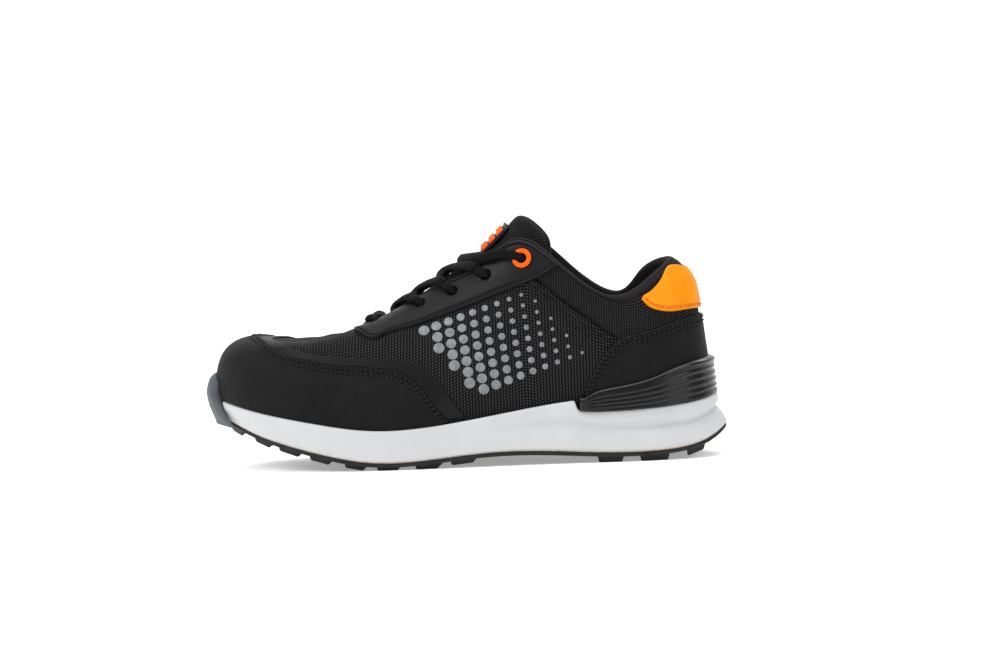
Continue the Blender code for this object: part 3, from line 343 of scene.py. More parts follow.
def place(points, axis):
    """Turn and rise on the lateral side of points given by x and, on axis 1, y or, on axis 2, z."""
    turns, rises = np.meshgrid(np.linspace(0, HALF, 12 * HALF + 1), np.linspace(0, 1, 61), indexing="ij")
    grid = skin(turns, rises)
    found = []
    for first, second in points:
        target = np.array([first, second])
        far = np.hypot(grid[..., 0] - first, grid[..., axis] - second)
        best = np.unravel_index(far.argmin(), far.shape)
        pair = np.array([turns[best], rises[best]])
        for _ in range(6):
            here = skin(pair[0], pair[1])[[0, axis]]
            slope_u = (skin(pair[0] + STEP, pair[1])[[0, axis]] - here) / STEP
            slope_v = (skin(pair[0], pair[1] + STEP)[[0, axis]] - here) / STEP
            move = np.linalg.lstsq(np.stack([slope_u, slope_v], 1), target - here, rcond=0.05)[0]
            pair = pair + np.clip(move, -0.1, 0.1)
            pair[1] = np.clip(pair[1], 0, 1)
        found.append(pair)
    return np.array(found)


def rise_at(turn, z):
    """Rise at which the side wall reaches a height."""
    low = np.zeros_like(turn)
    high = np.full_like(turn, 0.6)
    for _ in range(30):
        middle = (low + high) / 2
        under = skin(turn, middle)[..., 2] < z
        low = np.where(under, middle, low)
        high = np.where(under, high, middle)
    return low


def turn_at(x):
    """Turn of the section whose bite line is at x."""
    turns = np.linspace(0, HALF, 1101)
    return np.interp(x, skin(turns, 0.0)[:, 0], turns)


def smooth(low, high, value):
    """Soft step from 0 to 1."""
    t = np.clip((value - low) / (high - low), 0, 1)
    return t * t * (3 - 2 * t)


def wall(turn, rise):
    """Thickness of the upper, thick where the collar is padded."""
    padded = smooth(PAD_FROM_TURN, PAD_FULL_TURN, np.abs(turn))
    full = smooth(PAD_LOW, PAD_FULL, rise) - (1 - PAD_AT_EDGE) * smooth(PAD_FULL, 1.0, rise)
    return WALL + COLLAR_PAD * padded * full


def both_sides(front, side):
    """A line from the lateral end over the front to the medial end, drawn once for both sides."""
    lateral = np.concatenate([place(front, 1), place(side, 2)])
    medial = lateral[1:] * (-1, 1)
    lateral[0, 0] = 0
    return np.concatenate([lateral[::-1], medial])


def round_heel(side, back_z):
    """A line from the lateral end round the heel to the medial end."""
    lateral = place(side, 2)
    back = np.array([[HALF, rise_back(back_z)]])
    medial = lateral[::-1] * (-1, 1) + (LOOP, 0)
    return np.concatenate([lateral, back, medial])


def rise_back(z):
    """Rise of a height at the heel tip."""
    rises = np.linspace(0, 1, 501)
    return np.interp(z, skin(np.full(501, float(HALF)), rises)[:, 2], rises)


def loop_turns(turns):
    """The same turns down the lateral side and back along the medial side."""
    turns = np.asarray(turns, float)
    return np.concatenate([turns, LOOP - turns[-2:0:-1]])


def side_of(turn):
    """Turn folded to 0 at the toe and 11 at the heel, on either side."""
    return np.where(turn > HALF, LOOP - turn, turn)


def rim_line(turn):
    """Height of the midsole's top edge, stepped down under the heel clip."""
    return np.where(side_of(turn) > CLIP_TURN, sole("clip_z", turn), sole("rim_z", turn))


def sole_point(turn, out, z):
    """Point beyond the bite line at a height."""
    point = skin(turn, 0.0) + outward(turn) * np.asarray(out)[..., None]
    point[..., 2] = z
    return point


def midsole_out(turn, z):
    """How far the midsole's side stands beyond the bite line at a height."""
    top = rim_line(turn)
    joint = sole("joint_z", turn)
    down = np.clip((top - z) / (top - joint), 0, 1)
    downs = np.concatenate([[0], column(SIDE, SIDE_COLUMNS, "down"), [1]])
    flares = np.concatenate([[0], column(SIDE, SIDE_COLUMNS, "flare"), [1]])
    top_out = sole("top_out", turn)
    return top_out + (sole("bottom_out", turn) - top_out) * np.interp(down, downs, flares)


def tongue_grid():
    """Outer points of the tongue: stations along the throat, places across it."""
    grid = []
    for turn, arch in TONGUE_STATIONS:
        sides = []
        for side in (1, -1):
            rises = np.array(TONGUE_UNDER)
            turns = np.full(len(rises), side * turn)
            sides.append(surface(turns, rises, -wall(np.abs(turns), rises) - TONGUE_CLEAR))
        left = sides[0][-1]
        right = sides[1][-1]
        middle = []
        for share in TONGUE_ACROSS:
            point = left + (right - left) * share
            point[2] += arch * 4 * share * (1 - share)
            middle.append(point)
        grid.append(np.concatenate([sides[0], middle, sides[1][::-1]]))
    last = grid[-1]
    end = np.array([(x, -y, z) for x, y, z in TONGUE_END[:0:-1]] + list(TONGUE_END))
    for share in TONGUE_REACH:
        more = last + (end - last) * share
        more[:, 2] = last[:, 2] + (end - last)[:, 2] * np.sin(share * np.pi / 2)
        grid.append(more)
    return np.array(grid)


def grid_normals(grid):
    """Upward directions of a grid of points."""
    up = np.cross(np.gradient(grid, axis=1), np.gradient(grid, axis=0))
    up *= np.sign(up[..., 2].mean())
    return unit(up)


def tongue_middle(outer, x):
    """Point of the tongue's middle line at x."""
    ridge = outer[:, outer.shape[1] // 2]
    return np.array([np.interp(x, ridge[:, 0], ridge[:, k]) for k in range(3)])


def line3(points, count):
    """Even steps along the cubic through points in space."""
    controls = open_controls(np.asarray(points, float))
    spans = len(points) - 1
    where = np.linspace(0, spans, count)
    cell = np.minimum(where.astype(int), spans - 1)
    weights = basis(where - cell)
    return sum(weights[k][:, None] * controls[cell + k] for k in range(4))


# Camera of the picture: what it looks at, how far, from where, its roll and lens.
LOOK_AT = Vector((0.0207, 0.0, 0.073))
CAMERA_FAR = 2.0
CAMERA_AZIMUTH = 4.0
CAMERA_ELEVATION = 3.0
CAMERA_ROLL = -2.04
CAMERA_LENS = 124.46

# Light of the white world, then lamps by place and size in metres and power in watts, all facing one spot.
WORLD_LIGHT = 0.33
LIGHTS = (("key", (-1.3, -0.85, 1.2), (1.1, 0.9), 27.0),
          ("top", (0.1, -0.2, 1.9), (1.8, 1.2), 27.0),
          ("fill", (1.2, -0.9, 0.8), (1.0, 1.0), 9.5),
          ("back", (0.2, 1.1, 1.3), (1.6, 0.8), 10.0))
LIGHT_AIM = (0.0, 0.0, 0.06)

# Floor in metres: its reach, where it bends up behind, the bend's radius and the top of its sweep.
FLOOR_REACH = 9.0
FLOOR_BEND_Y = 1.6
FLOOR_BEND = 0.9
FLOOR_TOP_Z = 3.2

# Fineness of the dressed meshes.
UPPER_COLUMNS = 528
UPPER_ROWS = 96
LINING_ROWS = 40
PATCH_COLUMNS = 380
TAB_COLUMNS = 150
SEAM_COLUMNS = 90
BUMPER_ROWS = 44
BUMPER_COLUMNS = 121
CLIP_ROWS = 84
CLIP_COLUMNS = 420
TONGUE_ROWS = 150
TONGUE_COLUMNS = 72
LABEL_FINE = 60
CORD_STEPS = 110
CORD_SIDES = 20
RING_SIDES = 64
RING_TUBE = 20
DOT_SIDES = 24
STITCH_SIDES = 6

# Collar band of lining: width at the throat, then each width further back with the turns over which it
# comes, the dip at the mesh's end, and the band's roll.
BAND_THROAT = 1.6
BAND_STEPS = ((3.2, 6.2, 7.4), (4.4, 8.4, 9.6), (8.5, 10.1, 10.8))
BAND_TUCK = 0.5
BAND_ROLL = 0.55
BAND_ROLL_TURNS = (6.4, 8.8)
BAND_FOOT = 0.35

# Soft creases across the vamp's flex and ripples of the quarter's cloth: where they come and go, in rises
# and turns, their pitch and depth.
FLEX_X = -74.0
FLEX_RISES = (0.50, 0.75)
FLEX_SPREAD = 26.0
FLEX_PITCH = 15.0
FLEX_SLANT = 10.0
FLEX_DEPTH = 0.32
RIPPLE_ALONG = 0.55
RIPPLE_UP = 62.0
RIPPLE_PITCH = 34.0
RIPPLE_LONG = 71.0
RIPPLE_DEPTH = 0.22
RIPPLE_FRONT = (5.2, 6.4)
RIPPLE_BACK = (10.4, 9.2)
RIPPLE_FOOT = (0.12, 0.3)
RIPPLE_HEAD = (0.98, 0.7)

# Dimples at the lace holes: depth in wall and panel, how much wider than the hole, and more at the rings.
WALL_DIP = 2.4
WALL_DIP_WIDER = 0.9
PANEL_DIP = 3.6
DIP_WIDER = 0.5
RING_DIP_DEEPER = 0.8

# Sewing: pitch of fine and coarse rows, a stitch's length and half width as shares of the pitch, its stops
# with their height and width in half widths, how far rows lie from a panel's edge, the groove under a row,
# the lip at an edge, and the shadow gap behind the quarter's seam.
STITCH_PITCH = 2.1
STITCH_COARSE = 2.9
STITCH_SHARE = 0.68
STITCH_HALF = 0.198
STITCH_STOPS = np.array([0.0, 0.12, 0.5, 0.88, 1.0])
STITCH_ARCH = np.array([-0.9, 0.25, 0.55, 0.25, -0.9])
STITCH_WIDTH = np.array([0.55, 1.0, 1.1, 1.0, 0.55])
STITCH_DOWN = 0.35
ROW_FIRST = 2.0
ROW_SECOND = 4.4
ROW_STAY_LOW = 2.4
SEAM_ROWS = (2.2, 4.0)
SEAM_GROOVE = 0.7
SEAM_GROOVE_HALF = 0.6
EDGE_LIP = 0.30
EDGE_LIP_AT = 0.95
EDGE_LIP_HALF = 0.5
SEAM_SHADOW = 1.5
SEAM_SHADOW_HALF = 1.2
SEAM_SHADOW_BACK = (0.5, 0.0, 0.6)

# How far a cover stands off what it lies on, and how far its hidden face is sunk in.
COVER_GAP = 0.1
COVER_SUNK = 0.2

# Pitch of the cloths and of the lace's braid, and the share by which the braid swells.
MESH_PITCH = 1.75
FINE_PITCH = 1.4
KNIT_PITCH = 0.9
LINING_PITCH = 1.2
BRAID_PITCH = 1.15
BRAID_RIB = 0.03

# Cloth coordinates: stations along the shoe, and where girth gives way to the plain distance across the toe.
CLOTH_STATIONS = (-146.0, 141.0, 1.5)
CLOTH_FLAT = (14.0, 8.0)
CLOTH_FLAT_TURN = 2.0
HEEL_TURN = 8.0

# Power that makes a round section squarer.
SQUARED = 0.8

# Toe bumper of the outsole: height at its tip and drop to its ends, half width in turns and thickness at
# heights up its front, its foot, and the rounding of its ends and lip.
BUMPER_TOP_Z = 55.0
BUMPER_DROP = 5.0
BUMPER_EDGE = ((24.0, 28.0, 31.0, 35.0, 40.0, 48.0, 55.0), (1.25, 0.98, 0.84, 0.72, 0.67, 0.60, 0.52))
BUMPER_SWELL = ((22.0, 27.0, 31.0, 36.0, 41.0, 45.0, 50.0, 55.0), (0.2, 0.9, 2.4, 4.5, 5.5, 5.5, 4.4, 3.0))
BUMPER_FOOT_TURN = 1.1
BUMPER_FOOT_LIFT = 0.4
BUMPER_BESIDE = 0.25
BUMPER_END_ROUND = 5.0
BUMPER_LIP_ROUND = 3.4

# Heel clip: its thickness, its crest where it shows above the midsole, its ribs as shares of its height,
# the depth of their grooves and its lip at the heel.
CLIP_TOP_THICK = 2.4
CLIP_FOOT_THICK = 4.6
CLIP_CREST = ((69.0, 37.6), (76.0, 40.8), (84.0, 42.6), (95.0, 44.2), (106.0, 46.6), (112.0, 48.6),
              (118.0, 51.2), (127.0, 54.4), (134.0, 55.8))
CLIP_CREST_BACK_Z = 57.0
CLIP_PAST_TURN = 0.06
CLIP_RIBS = 6.0
CLIP_RIBS_FROM = (0.03, 0.12)
CLIP_RIBS_TO = (0.80, 0.70)
CLIP_GROOVE = 0.28
CLIP_GROOVE_MORE = 0.62
CLIP_GROOVE_TURNS = (8.3, 10.2)
CLIP_LIP = 1.1
CLIP_LIP_AT = 0.90
CLIP_LIP_HALF = 0.07
CLIP_LIP_TURNS = (9.0, 10.2)
CLIP_ROUND = 2.2

# Midsole's side: rows from top to foot, and the hollow at the heel against the solid's.
MIDSOLE_ROWS = 34
MIDSOLE_DOWN = (0.08, 0.965)
SCOOP_MORE = 1.5

# Bead of cement between midsole and outsole: how far in it lies, and its profile outward and up.
CEMENT_IN = 0.55
CEMENT_PROFILE = ((-1.0, -0.3), (0.0, -0.35), (0.12, -0.15), (0.0, 0.12), (-1.0, 0.1))

# Lace, label and tongue as they rest: the lace's lift and lean on the tongue, its ends in the holes, its
# stops over the eyestay as shares of the way with lift and width, and how a crossing goes over and under.
LACE_ON_PAD = 1.1
LACE_LEAN = 0.5
LACE_LEAN_TOP = 0.95
LACE_LIFT_TOP = 1.6
LACE_END_BACK = 0.10
LACE_END_DOWN = 0.012
LACE_END_OUT = -2.8
LACE_END_WIDTH = 0.60
LACE_PINCH = 0.15
LACE_GIRTH = 2.6
LACE_HOLE_OUT = 1.2
LACE_HOLE_WIDTH = 0.68
LACE_OVER_STAY = ((0.22, 0.25, 0.90), (0.55, 0.15, 1.0), (1.0, 0.9, 1.0))
CROSS_OVER = 0.9
CROSS_UNDER = -0.6
CROSS_NEAR = 0.55
CROSS_NEAR_LIFT = 0.8
CROSS_TUCK = 2.5
CROSS_TUCK_DOWN = 0.6
LABEL_SEAT = -1.0
LABEL_TILT = 2.0
LABEL_START = 0.8
LABEL_END = 0.45
LABEL_ROUND = 0.9
LABEL_RECESS = 0.7
LABEL_RIM = (1.3, 1.9)
LABEL_BLOCK_SUNK = 1.0
LABEL_BLOCK_FOOT = 0.4
LABEL_BLOCK_HIGH = 1.2
LABEL_BLOCK_ROUND = 0.6
LABEL_BLOCKS_ALONG = ((0.08, 0.30), (0.36, 0.58), (0.64, 0.86))
LABEL_BLOCKS_ACROSS = ((0.10, 0.36), (0.41, 0.59), (0.64, 0.90))
TONGUE_SWELL = 0.9
TONGUE_DENT = 1.6
TONGUE_DENT_AT = 0.80
TONGUE_DENT_HALF = 0.09
TONGUE_SPREAD = 2.4
TONGUE_ASIDE = (0.2, 0.7)
TONGUE_PAD_REACH = (0.15, 0.75)
TONGUE_END_REACH = (0.85, 1.0)
TONGUE_ROUND = 6.0

# Reflective print on each side: a field of dots that shrink towards the heel.
PRINT_CORNER = (-20.0, 78.0)
PRINT_DOWN = (4.3, -5.0)
PRINT_BACK = (7.0, 2.3)
PRINT_ROWS = 8
PRINT_COLUMNS = 9
PRINT_LARGE = 3.1
PRINT_SMALL = 0.8
PRINT_END = 128.0
PRINT_SLANT = 0.9
PRINT_PROFILE = ((1.0, 0.02), (1.0, 0.22), (0.9, 0.30))


def put(name, verts, faces, looks, node=None, uv=None, looks_of=None, sharp=None):
    """A piece of the dressed shoe, from points in millimetres, that stands for a node where one is named."""
    mesh = bpy.data.meshes.new(name)
    mesh.from_pydata((np.asarray(verts, float) * UNIT).tolist(), [], faces)
    for look in looks:
        mesh.materials.append(look)
    if looks_of is not None:
        mesh.polygons.foreach_set("material_index", np.asarray(looks_of, np.int32))
    if uv is not None:
        layer = mesh.uv_layers.new(name="cloth")
        layer.data.foreach_set("uv", np.asarray(uv, np.float32).ravel())
    work = bmesh.new()
    work.from_mesh(mesh)
    bmesh.ops.recalc_face_normals(work, faces=work.faces)
    if work.calc_volume(signed=True) < 0:
        bmesh.ops.reverse_faces(work, faces=work.faces)
    work.to_mesh(mesh)
    work.free()
    mesh.shade_smooth()
    if sharp is not None:
        mesh.set_sharp_from_angle(angle=sharp)
    piece = bpy.data.objects.new(name, mesh)
    bpy.context.scene.collection.objects.link(piece)
    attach(piece, "root")
    if node is not None:
        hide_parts(node)
    return piece


def grid_faces(rows, columns, start, closed_rows, closed_columns):
    """Four-sided faces of a grid of points numbered row by row."""
    i = np.arange(rows if closed_rows else rows - 1)
    j = np.arange(columns if closed_columns else columns - 1)
    i, j = np.meshgrid(i, j, indexing="ij")
    k = (i + 1) % rows
    m = (j + 1) % columns
    faces = np.stack([i * columns + j, k * columns + j, k * columns + m, i * columns + m], -1) + start
    return faces.reshape(-1, 4)


def shell_faces(rows, columns):
    """Faces of the closed form between two grids of one size, the second numbered after the first."""
    count = rows * columns
    front = grid_faces(rows, columns, 0, False, False)
    back = grid_faces(rows, columns, count, False, False)[:, ::-1]
    border = [i * columns for i in range(rows)]
    border += [(rows - 1) * columns + j for j in range(1, columns)]
    border += [i * columns + columns - 1 for i in range(rows - 2, -1, -1)]
    border += list(range(columns - 2, 0, -1))
    border = np.array(border)
    after = np.roll(border, -1)
    sides = np.stack([border, after, after + count, border + count], 1)
    return np.concatenate([front, back, sides])


def shell(outer, inner):
    """Points and faces of the closed form between two grids of one size."""
    verts = np.concatenate([outer.reshape(-1, 3), inner.reshape(-1, 3)])
    return verts, shell_faces(*outer.shape[:2])


def add_tube(verts, faces, rings):
    """Adds a tube of rings of points, closed at both ends, to lists of points and faces."""
    rows, sides = rings.shape[:2]
    first = sum(len(points) for points in verts)
    last = first + (rows - 1) * sides
    verts.append(rings.reshape(-1, 3))
    faces += grid_faces(rows, sides, first, False, True).tolist()
    faces += [list(range(first, first + sides)), list(range(last + sides - 1, last - 1, -1))]


def face_uv(faces, points_uv):
    """Cloth coordinates of each corner of each face."""
    return np.asarray(points_uv)[np.asarray(faces).ravel()]


def spline(points, count):
    """Even points along the cubic through a line's turn and rise pairs."""
    fine = line3(points, 60 * len(points))
    reach = np.linalg.norm(np.diff(skin(fine[:, 0], np.clip(fine[:, 1], 0, 1)), axis=0), axis=1)
    length = np.concatenate([[0], np.cumsum(reach)])
    even = np.linspace(0, length[-1], count)
    return np.stack([np.interp(even, length, fine[:, k]) for k in range(2)], 1)


def soften(share, count):
    """Shares from 0 to 1, closer together at both ends."""
    even = np.linspace(0, 1, count)
    return even + share * (np.sin(2 * pi * even) / (-2 * pi))


def lengths(points, axis):
    """Distance along a grid of points from its first row or column."""
    steps = np.linalg.norm(np.diff(points, axis=axis), axis=-1)
    total = np.cumsum(steps, axis=axis)
    first = np.zeros_like(np.take(total, [0], axis=axis))
    return np.concatenate([first, total], axis=axis)


def cloth_map():
    """Cloth coordinates of the upper: length along the shoe and girth down from its middle line."""
    turns = np.linspace(0, HALF, 331)
    rises = np.linspace(0, 1, 101)
    points = skin(turns[None, :], rises[:, None])
    stations = np.arange(*CLOTH_STATIONS)
    girth = np.zeros((len(stations), len(rises)))
    for s, x in enumerate(stations):
        rows = np.array([[np.interp(x, row[:, 0], row[:, k]) for k in (1, 2)] for row in points])
        inside = points[:, 0, 0] <= x
        top = np.flatnonzero(inside)[-1] if inside.any() else 0
        steps = np.linalg.norm(np.diff(rows, axis=0), axis=1)
        middle = np.interp(x, points[:, 0, 0], points[:, 0, 1])
        start = abs(rows[top, 0] - middle)
        for j in range(top - 1, -1, -1):
            girth[s, j] = girth[s, j + 1] + steps[j]
        girth[s, :top + 1] += start
    return stations, rises, girth


STATIONS, CLOTH_RISES, GIRTH = cloth_map()


def cloth_at(turn, rise):
    """Cloth coordinates of places on either side, in millimetres."""
    side = side_of(np.mod(turn, LOOP))
    x = skin(np.minimum(side, HEEL_TURN), rise)[..., 0]
    s = np.clip((x - STATIONS[0]) / (STATIONS[1] - STATIONS[0]), 0, len(STATIONS) - 1.001)
    r = np.clip(rise / (CLOTH_RISES[1] - CLOTH_RISES[0]), 0, len(CLOTH_RISES) - 1.001)
    i = s.astype(int)
    j = r.astype(int)
    a = s - i
    b = r - j
    low = GIRTH[i, j] * (1 - a) + GIRTH[i + 1, j] * a
    high = GIRTH[i, j + 1] * (1 - a) + GIRTH[i + 1, j + 1] * a
    heel = skin(np.maximum(side, HEEL_TURN), rise) - skin(np.full_like(side, HEEL_TURN), rise)
    middle = skin(np.zeros_like(CLOTH_RISES), CLOTH_RISES)
    across = np.abs(skin(side, rise)[..., 1] - np.interp(x, middle[:, 0], middle[:, 1]))
    flat = smooth(*CLOTH_FLAT, across) * (side < CLOTH_FLAT_TURN)
    down = (low * (1 - b) + high * b) * (1 - flat) + across * flat
    return np.stack([x + np.hypot(heel[..., 0], heel[..., 1]), down], -1)


def edge_round(distance, radius):
    """Share of the full thickness at a distance from a rounded edge."""
    t = np.clip(distance / radius, 0, 1)
    return np.sqrt(1 - (1 - t) ** 2)


class Patch:
    """A panel laid on the upper between two lines, with rounded edges and grooves under its seams."""

    def __init__(self, low, high, rows):
        share = soften(0.75, rows)[:, None]
        self.turn = low[:, 0] + (high[:, 0] - low[:, 0]) * share
        self.rise = np.clip(low[:, 1] + (high[:, 1] - low[:, 1]) * share, 0, 1)
        self.points = skin(self.turn, self.rise)
        self.from_low = lengths(self.points, 0)
        self.from_high = self.from_low[-1] - self.from_low
        across = lengths(self.points, 1)
        self.from_ends = np.minimum(across, across[:, -1:] - across)

    def line(self, distance, high=True):
        """Turn and rise pairs at a distance from the high or the low edge."""
        away = self.from_high if high else self.from_low
        pairs = []
        for k in range(away.shape[1]):
            order = slice(None, None, -1) if high else slice(None)
            turn = np.interp(distance, away[order, k], self.turn[order, k])
            rise = np.interp(distance, away[order, k], self.rise[order, k])
            if away[:, k].max() > distance:
                pairs.append((turn, rise))
        return np.array(pairs)

    def build(self, name, thick, look, node, slot, radius, rows_at=(), dips=(), wedge=False):
        """The panel's piece: its rows of seams lie at a distance from the high or the low edge."""
        edge = np.minimum(np.minimum(self.from_low, self.from_high), self.from_ends)
        out = OVERLAY_GAP + thick * edge_round(edge, radius)
        for distance, high in rows_at:
            away = self.from_high if high else self.from_low
            out = out - SEAM_GROOVE * np.exp(-((away - distance) / SEAM_GROOVE_HALF) ** 2)
            if distance < ROW_SECOND and not wedge:
                out = out + EDGE_LIP * np.exp(-((away - EDGE_LIP_AT) / EDGE_LIP_HALF) ** 2)
        for turn, rise, wide, deep in dips:
            far = np.linalg.norm(self.points - skin(turn, rise), axis=-1)
            out = out - deep * (1 - smooth(wide * 0.72, wide * 1.12, far))
        if wedge:
            out = OVERLAY_GAP + (out - OVERLAY_GAP) * self.from_low / self.from_low[-1]
        outer = surface(self.turn, self.rise, out)
        inner = surface(self.turn, self.rise, np.minimum(out - COVER_GAP, OVERLAY_GAP * 0.4))
        verts, faces = shell(outer, inner)
        cloth = cloth_at(self.turn, self.rise).reshape(-1, 2)
        uv = face_uv(faces, np.concatenate([cloth, cloth]))
        return put(name, verts, faces, [look], node, uv)


def stitches(name, rows, look):
    """Sewn stitches along rows, each given as turn and rise pairs, a height above the last and a pitch."""
    verts = []
    faces = []
    angle = np.arange(STITCH_SIDES) * 2 * pi / STITCH_SIDES
    round_cos = np.cos(angle)[None, :, None]
    round_sin = np.sin(angle)[None, :, None]
    for pairs, high, pitch in rows:
        half = STITCH_HALF * pitch
        points = skin(pairs[:, 0], pairs[:, 1])
        length = lengths(points, 0)
        starts = np.arange(pitch / 2, length[-1] - pitch, pitch)
        for start in starts:
            stops = start + pitch * STITCH_SHARE * STITCH_STOPS
            turn = np.interp(stops, length, pairs[:, 0])
            rise = np.interp(stops, length, pairs[:, 1])
            lift = high - SEAM_GROOVE * STITCH_DOWN + half * STITCH_ARCH
            path = surface(turn, rise, lift)
            ahead = unit(path[-1] - path[0])
            up = normal(turn, rise)
            across = np.cross(ahead, up)
            width = half * STITCH_WIDTH
            ring = round_cos * across[:, None] + round_sin * up[:, None]
            add_tube(verts, faces, path[:, None] + ring * width[:, None, None])
    return put(name, np.concatenate(verts), faces, [look], None)


def band_rise(turn):
    """Rise at which the mesh ends and the rolled lining of the edge begins."""
    side = side_of(turn)
    band = BAND_THROAT
    before = BAND_THROAT
    for width, start, end in BAND_STEPS:
        band = band + (width - before) * smooth(start, end, side)
        before = width
    rises = np.linspace(0, 1, 41)
    length = lengths(skin(turn[None, :], rises[:, None]), 0)[-1]
    return 1 - band / length


def creases(turn, rise):
    """Soft troughs across the vamp's flex and faint ripples of the quarter's cloth."""
    side = side_of(np.mod(turn, LOOP))
    x = skin(turn, rise)[..., 0]
    flex = np.exp(-((x - FLEX_X) / FLEX_SPREAD) ** 2) * smooth(*FLEX_RISES, rise)
    troughs = np.cos((x - FLEX_X + FLEX_SLANT * rise) * 2 * pi / FLEX_PITCH)
    quarter = smooth(*RIPPLE_FRONT, side) * smooth(*RIPPLE_BACK, side)
    quarter = quarter * smooth(*RIPPLE_FOOT, rise) * smooth(*RIPPLE_HEAD, rise)
    waves = np.sin((x * RIPPLE_ALONG + RIPPLE_UP * rise) * 2 * pi / RIPPLE_PITCH)
    waves = waves * np.cos(x * 2 * pi / RIPPLE_LONG)
    return FLEX_DEPTH * flex * troughs + RIPPLE_DEPTH * quarter * waves


def hole_dips(depth, wide):
    """Dimples at the lace holes, for panels and wall alike."""
    dips = []
    for side in (1, -1):
        dips += [(side * turn, rise, wide, depth) for turn, rise in HOLES[:-1]]
        turn, rise = HOLES[-1]
        dips.append((side * turn, rise, RING_BORE + DIP_WIDER, depth + RING_DIP_DEEPER))
    return dips


def seam_pairs(side):
    """Turn and rise pairs down the quarter's seam on one side."""
    return spline(place(SEAM_LINE, 2) * (side, 1), SEAM_COLUMNS)


def behind_seam(points):
    """How far places lie behind the quarter's seam, seen from the side."""
    line = np.array(SEAM_LINE)
    first, last = line[0], line[-1]
    ahead = unit(last - first)
    return (points[..., 2] - first[1]) * ahead[0] - (points[..., 0] - first[0]) * ahead[1]


def seam_trough(points):
    """Shadow gap along the back of the quarter's seam, on both sides."""
    near = np.full(points.shape[:-1], np.inf)
    for side in (1, -1):
        pairs = seam_pairs(side)
        for spot in skin(pairs[:, 0], pairs[:, 1]) + SEAM_SHADOW_BACK:
            near = np.minimum(near, np.linalg.norm(points - spot, axis=-1))
    return SEAM_SHADOW * np.exp(-(near / SEAM_SHADOW_HALF) ** 2)


def make_upper(mesh_look, fine_look, lining_look):
    """Hollow wall of the upper, bottom to top outside, over its rolled edge and down the lining."""
    turn = np.arange(UPPER_COLUMNS) * LOOP / UPPER_COLUMNS
    side = side_of(turn)
    top = band_rise(turn)
    rows = []
    pairs = []
    foot = skin(turn, 0.0) - outward(turn) * SEAT_IN
    foot[:, 2] = sole("floor_z", turn) + GAP
    rows.append(foot)
    pairs.append(np.zeros_like(turn))
    for share in np.linspace(0, 1, UPPER_ROWS):
        rise = top * share
        out = creases(turn, rise)
        near = np.zeros_like(turn)
        for hole_turn, hole_rise, wide, deep in hole_dips(WALL_DIP, HOLE_RADIUS + WALL_DIP_WIDER):
            far = np.linalg.norm(skin(turn, rise) - skin(hole_turn, hole_rise), axis=-1)
            near = np.maximum(near, deep * (1 - smooth(wide * 0.8, wide * 1.3, far)))
        near = near + seam_trough(skin(turn, rise))
        rows.append(surface(turn, rise, out - near - BAND_TUCK * smooth(0.97, 1.0, share)))
        pairs.append(rise)
    outer_rows = len(rows)
    for share in np.linspace(0.12, 1, 9):
        rise = top + (1 - top) * share
        bulge = BAND_ROLL * np.sin(pi * share) * smooth(*BAND_ROLL_TURNS, side)
        bulge = bulge - BAND_FOOT * (1 - smooth(0.0, 0.3, share))
        rows.append(surface(turn, rise, bulge))
        pairs.append(rise)
    thick = wall(side, np.ones_like(side))
    climb = unit(skin(turn, 1.0) - skin(turn, 1.0 - STEP))
    for angle in np.linspace(0, pi, 9)[1:-1]:
        edge = surface(turn, np.ones_like(turn), -thick / 2 * (1 - cos(angle)))
        rows.append(edge + climb * (thick * RIM_RISE * sin(angle))[:, None])
        pairs.append(np.ones_like(turn))
    for rise in np.linspace(1, 0, LINING_ROWS):
        rises = np.full_like(turn, rise)
        rows.append(surface(turn, rises, -wall(side, rises)))
        pairs.append(rises)
    rows.append(foot - outward(turn) * WALL)
    pairs.append(np.zeros_like(turn))
    count = len(rows)
    faces = grid_faces(count, UPPER_COLUMNS, 0, True, True)
    cloth = np.concatenate([cloth_at(turn, rise) for rise in pairs])
    uv = face_uv(faces, cloth)
    medial = np.tile(np.arange(UPPER_COLUMNS) >= UPPER_COLUMNS // 2, count).repeat(4)
    uv[medial, 1] *= -1
    rear = (behind_seam(np.array(rows)) > 0).astype(int)
    lined = np.arange(count) >= outer_rows - 1
    looks_of = np.where(lined[:, None], 2, rear).ravel()
    looks = [mesh_look, fine_look, lining_look]
    return put("upper_shell", np.concatenate(rows), faces, looks, "upper", uv, looks_of)


def level(pairs, rise):
    """The same turns at one rise."""
    return np.stack([pairs[:, 0], np.full(len(pairs), rise)], 1)


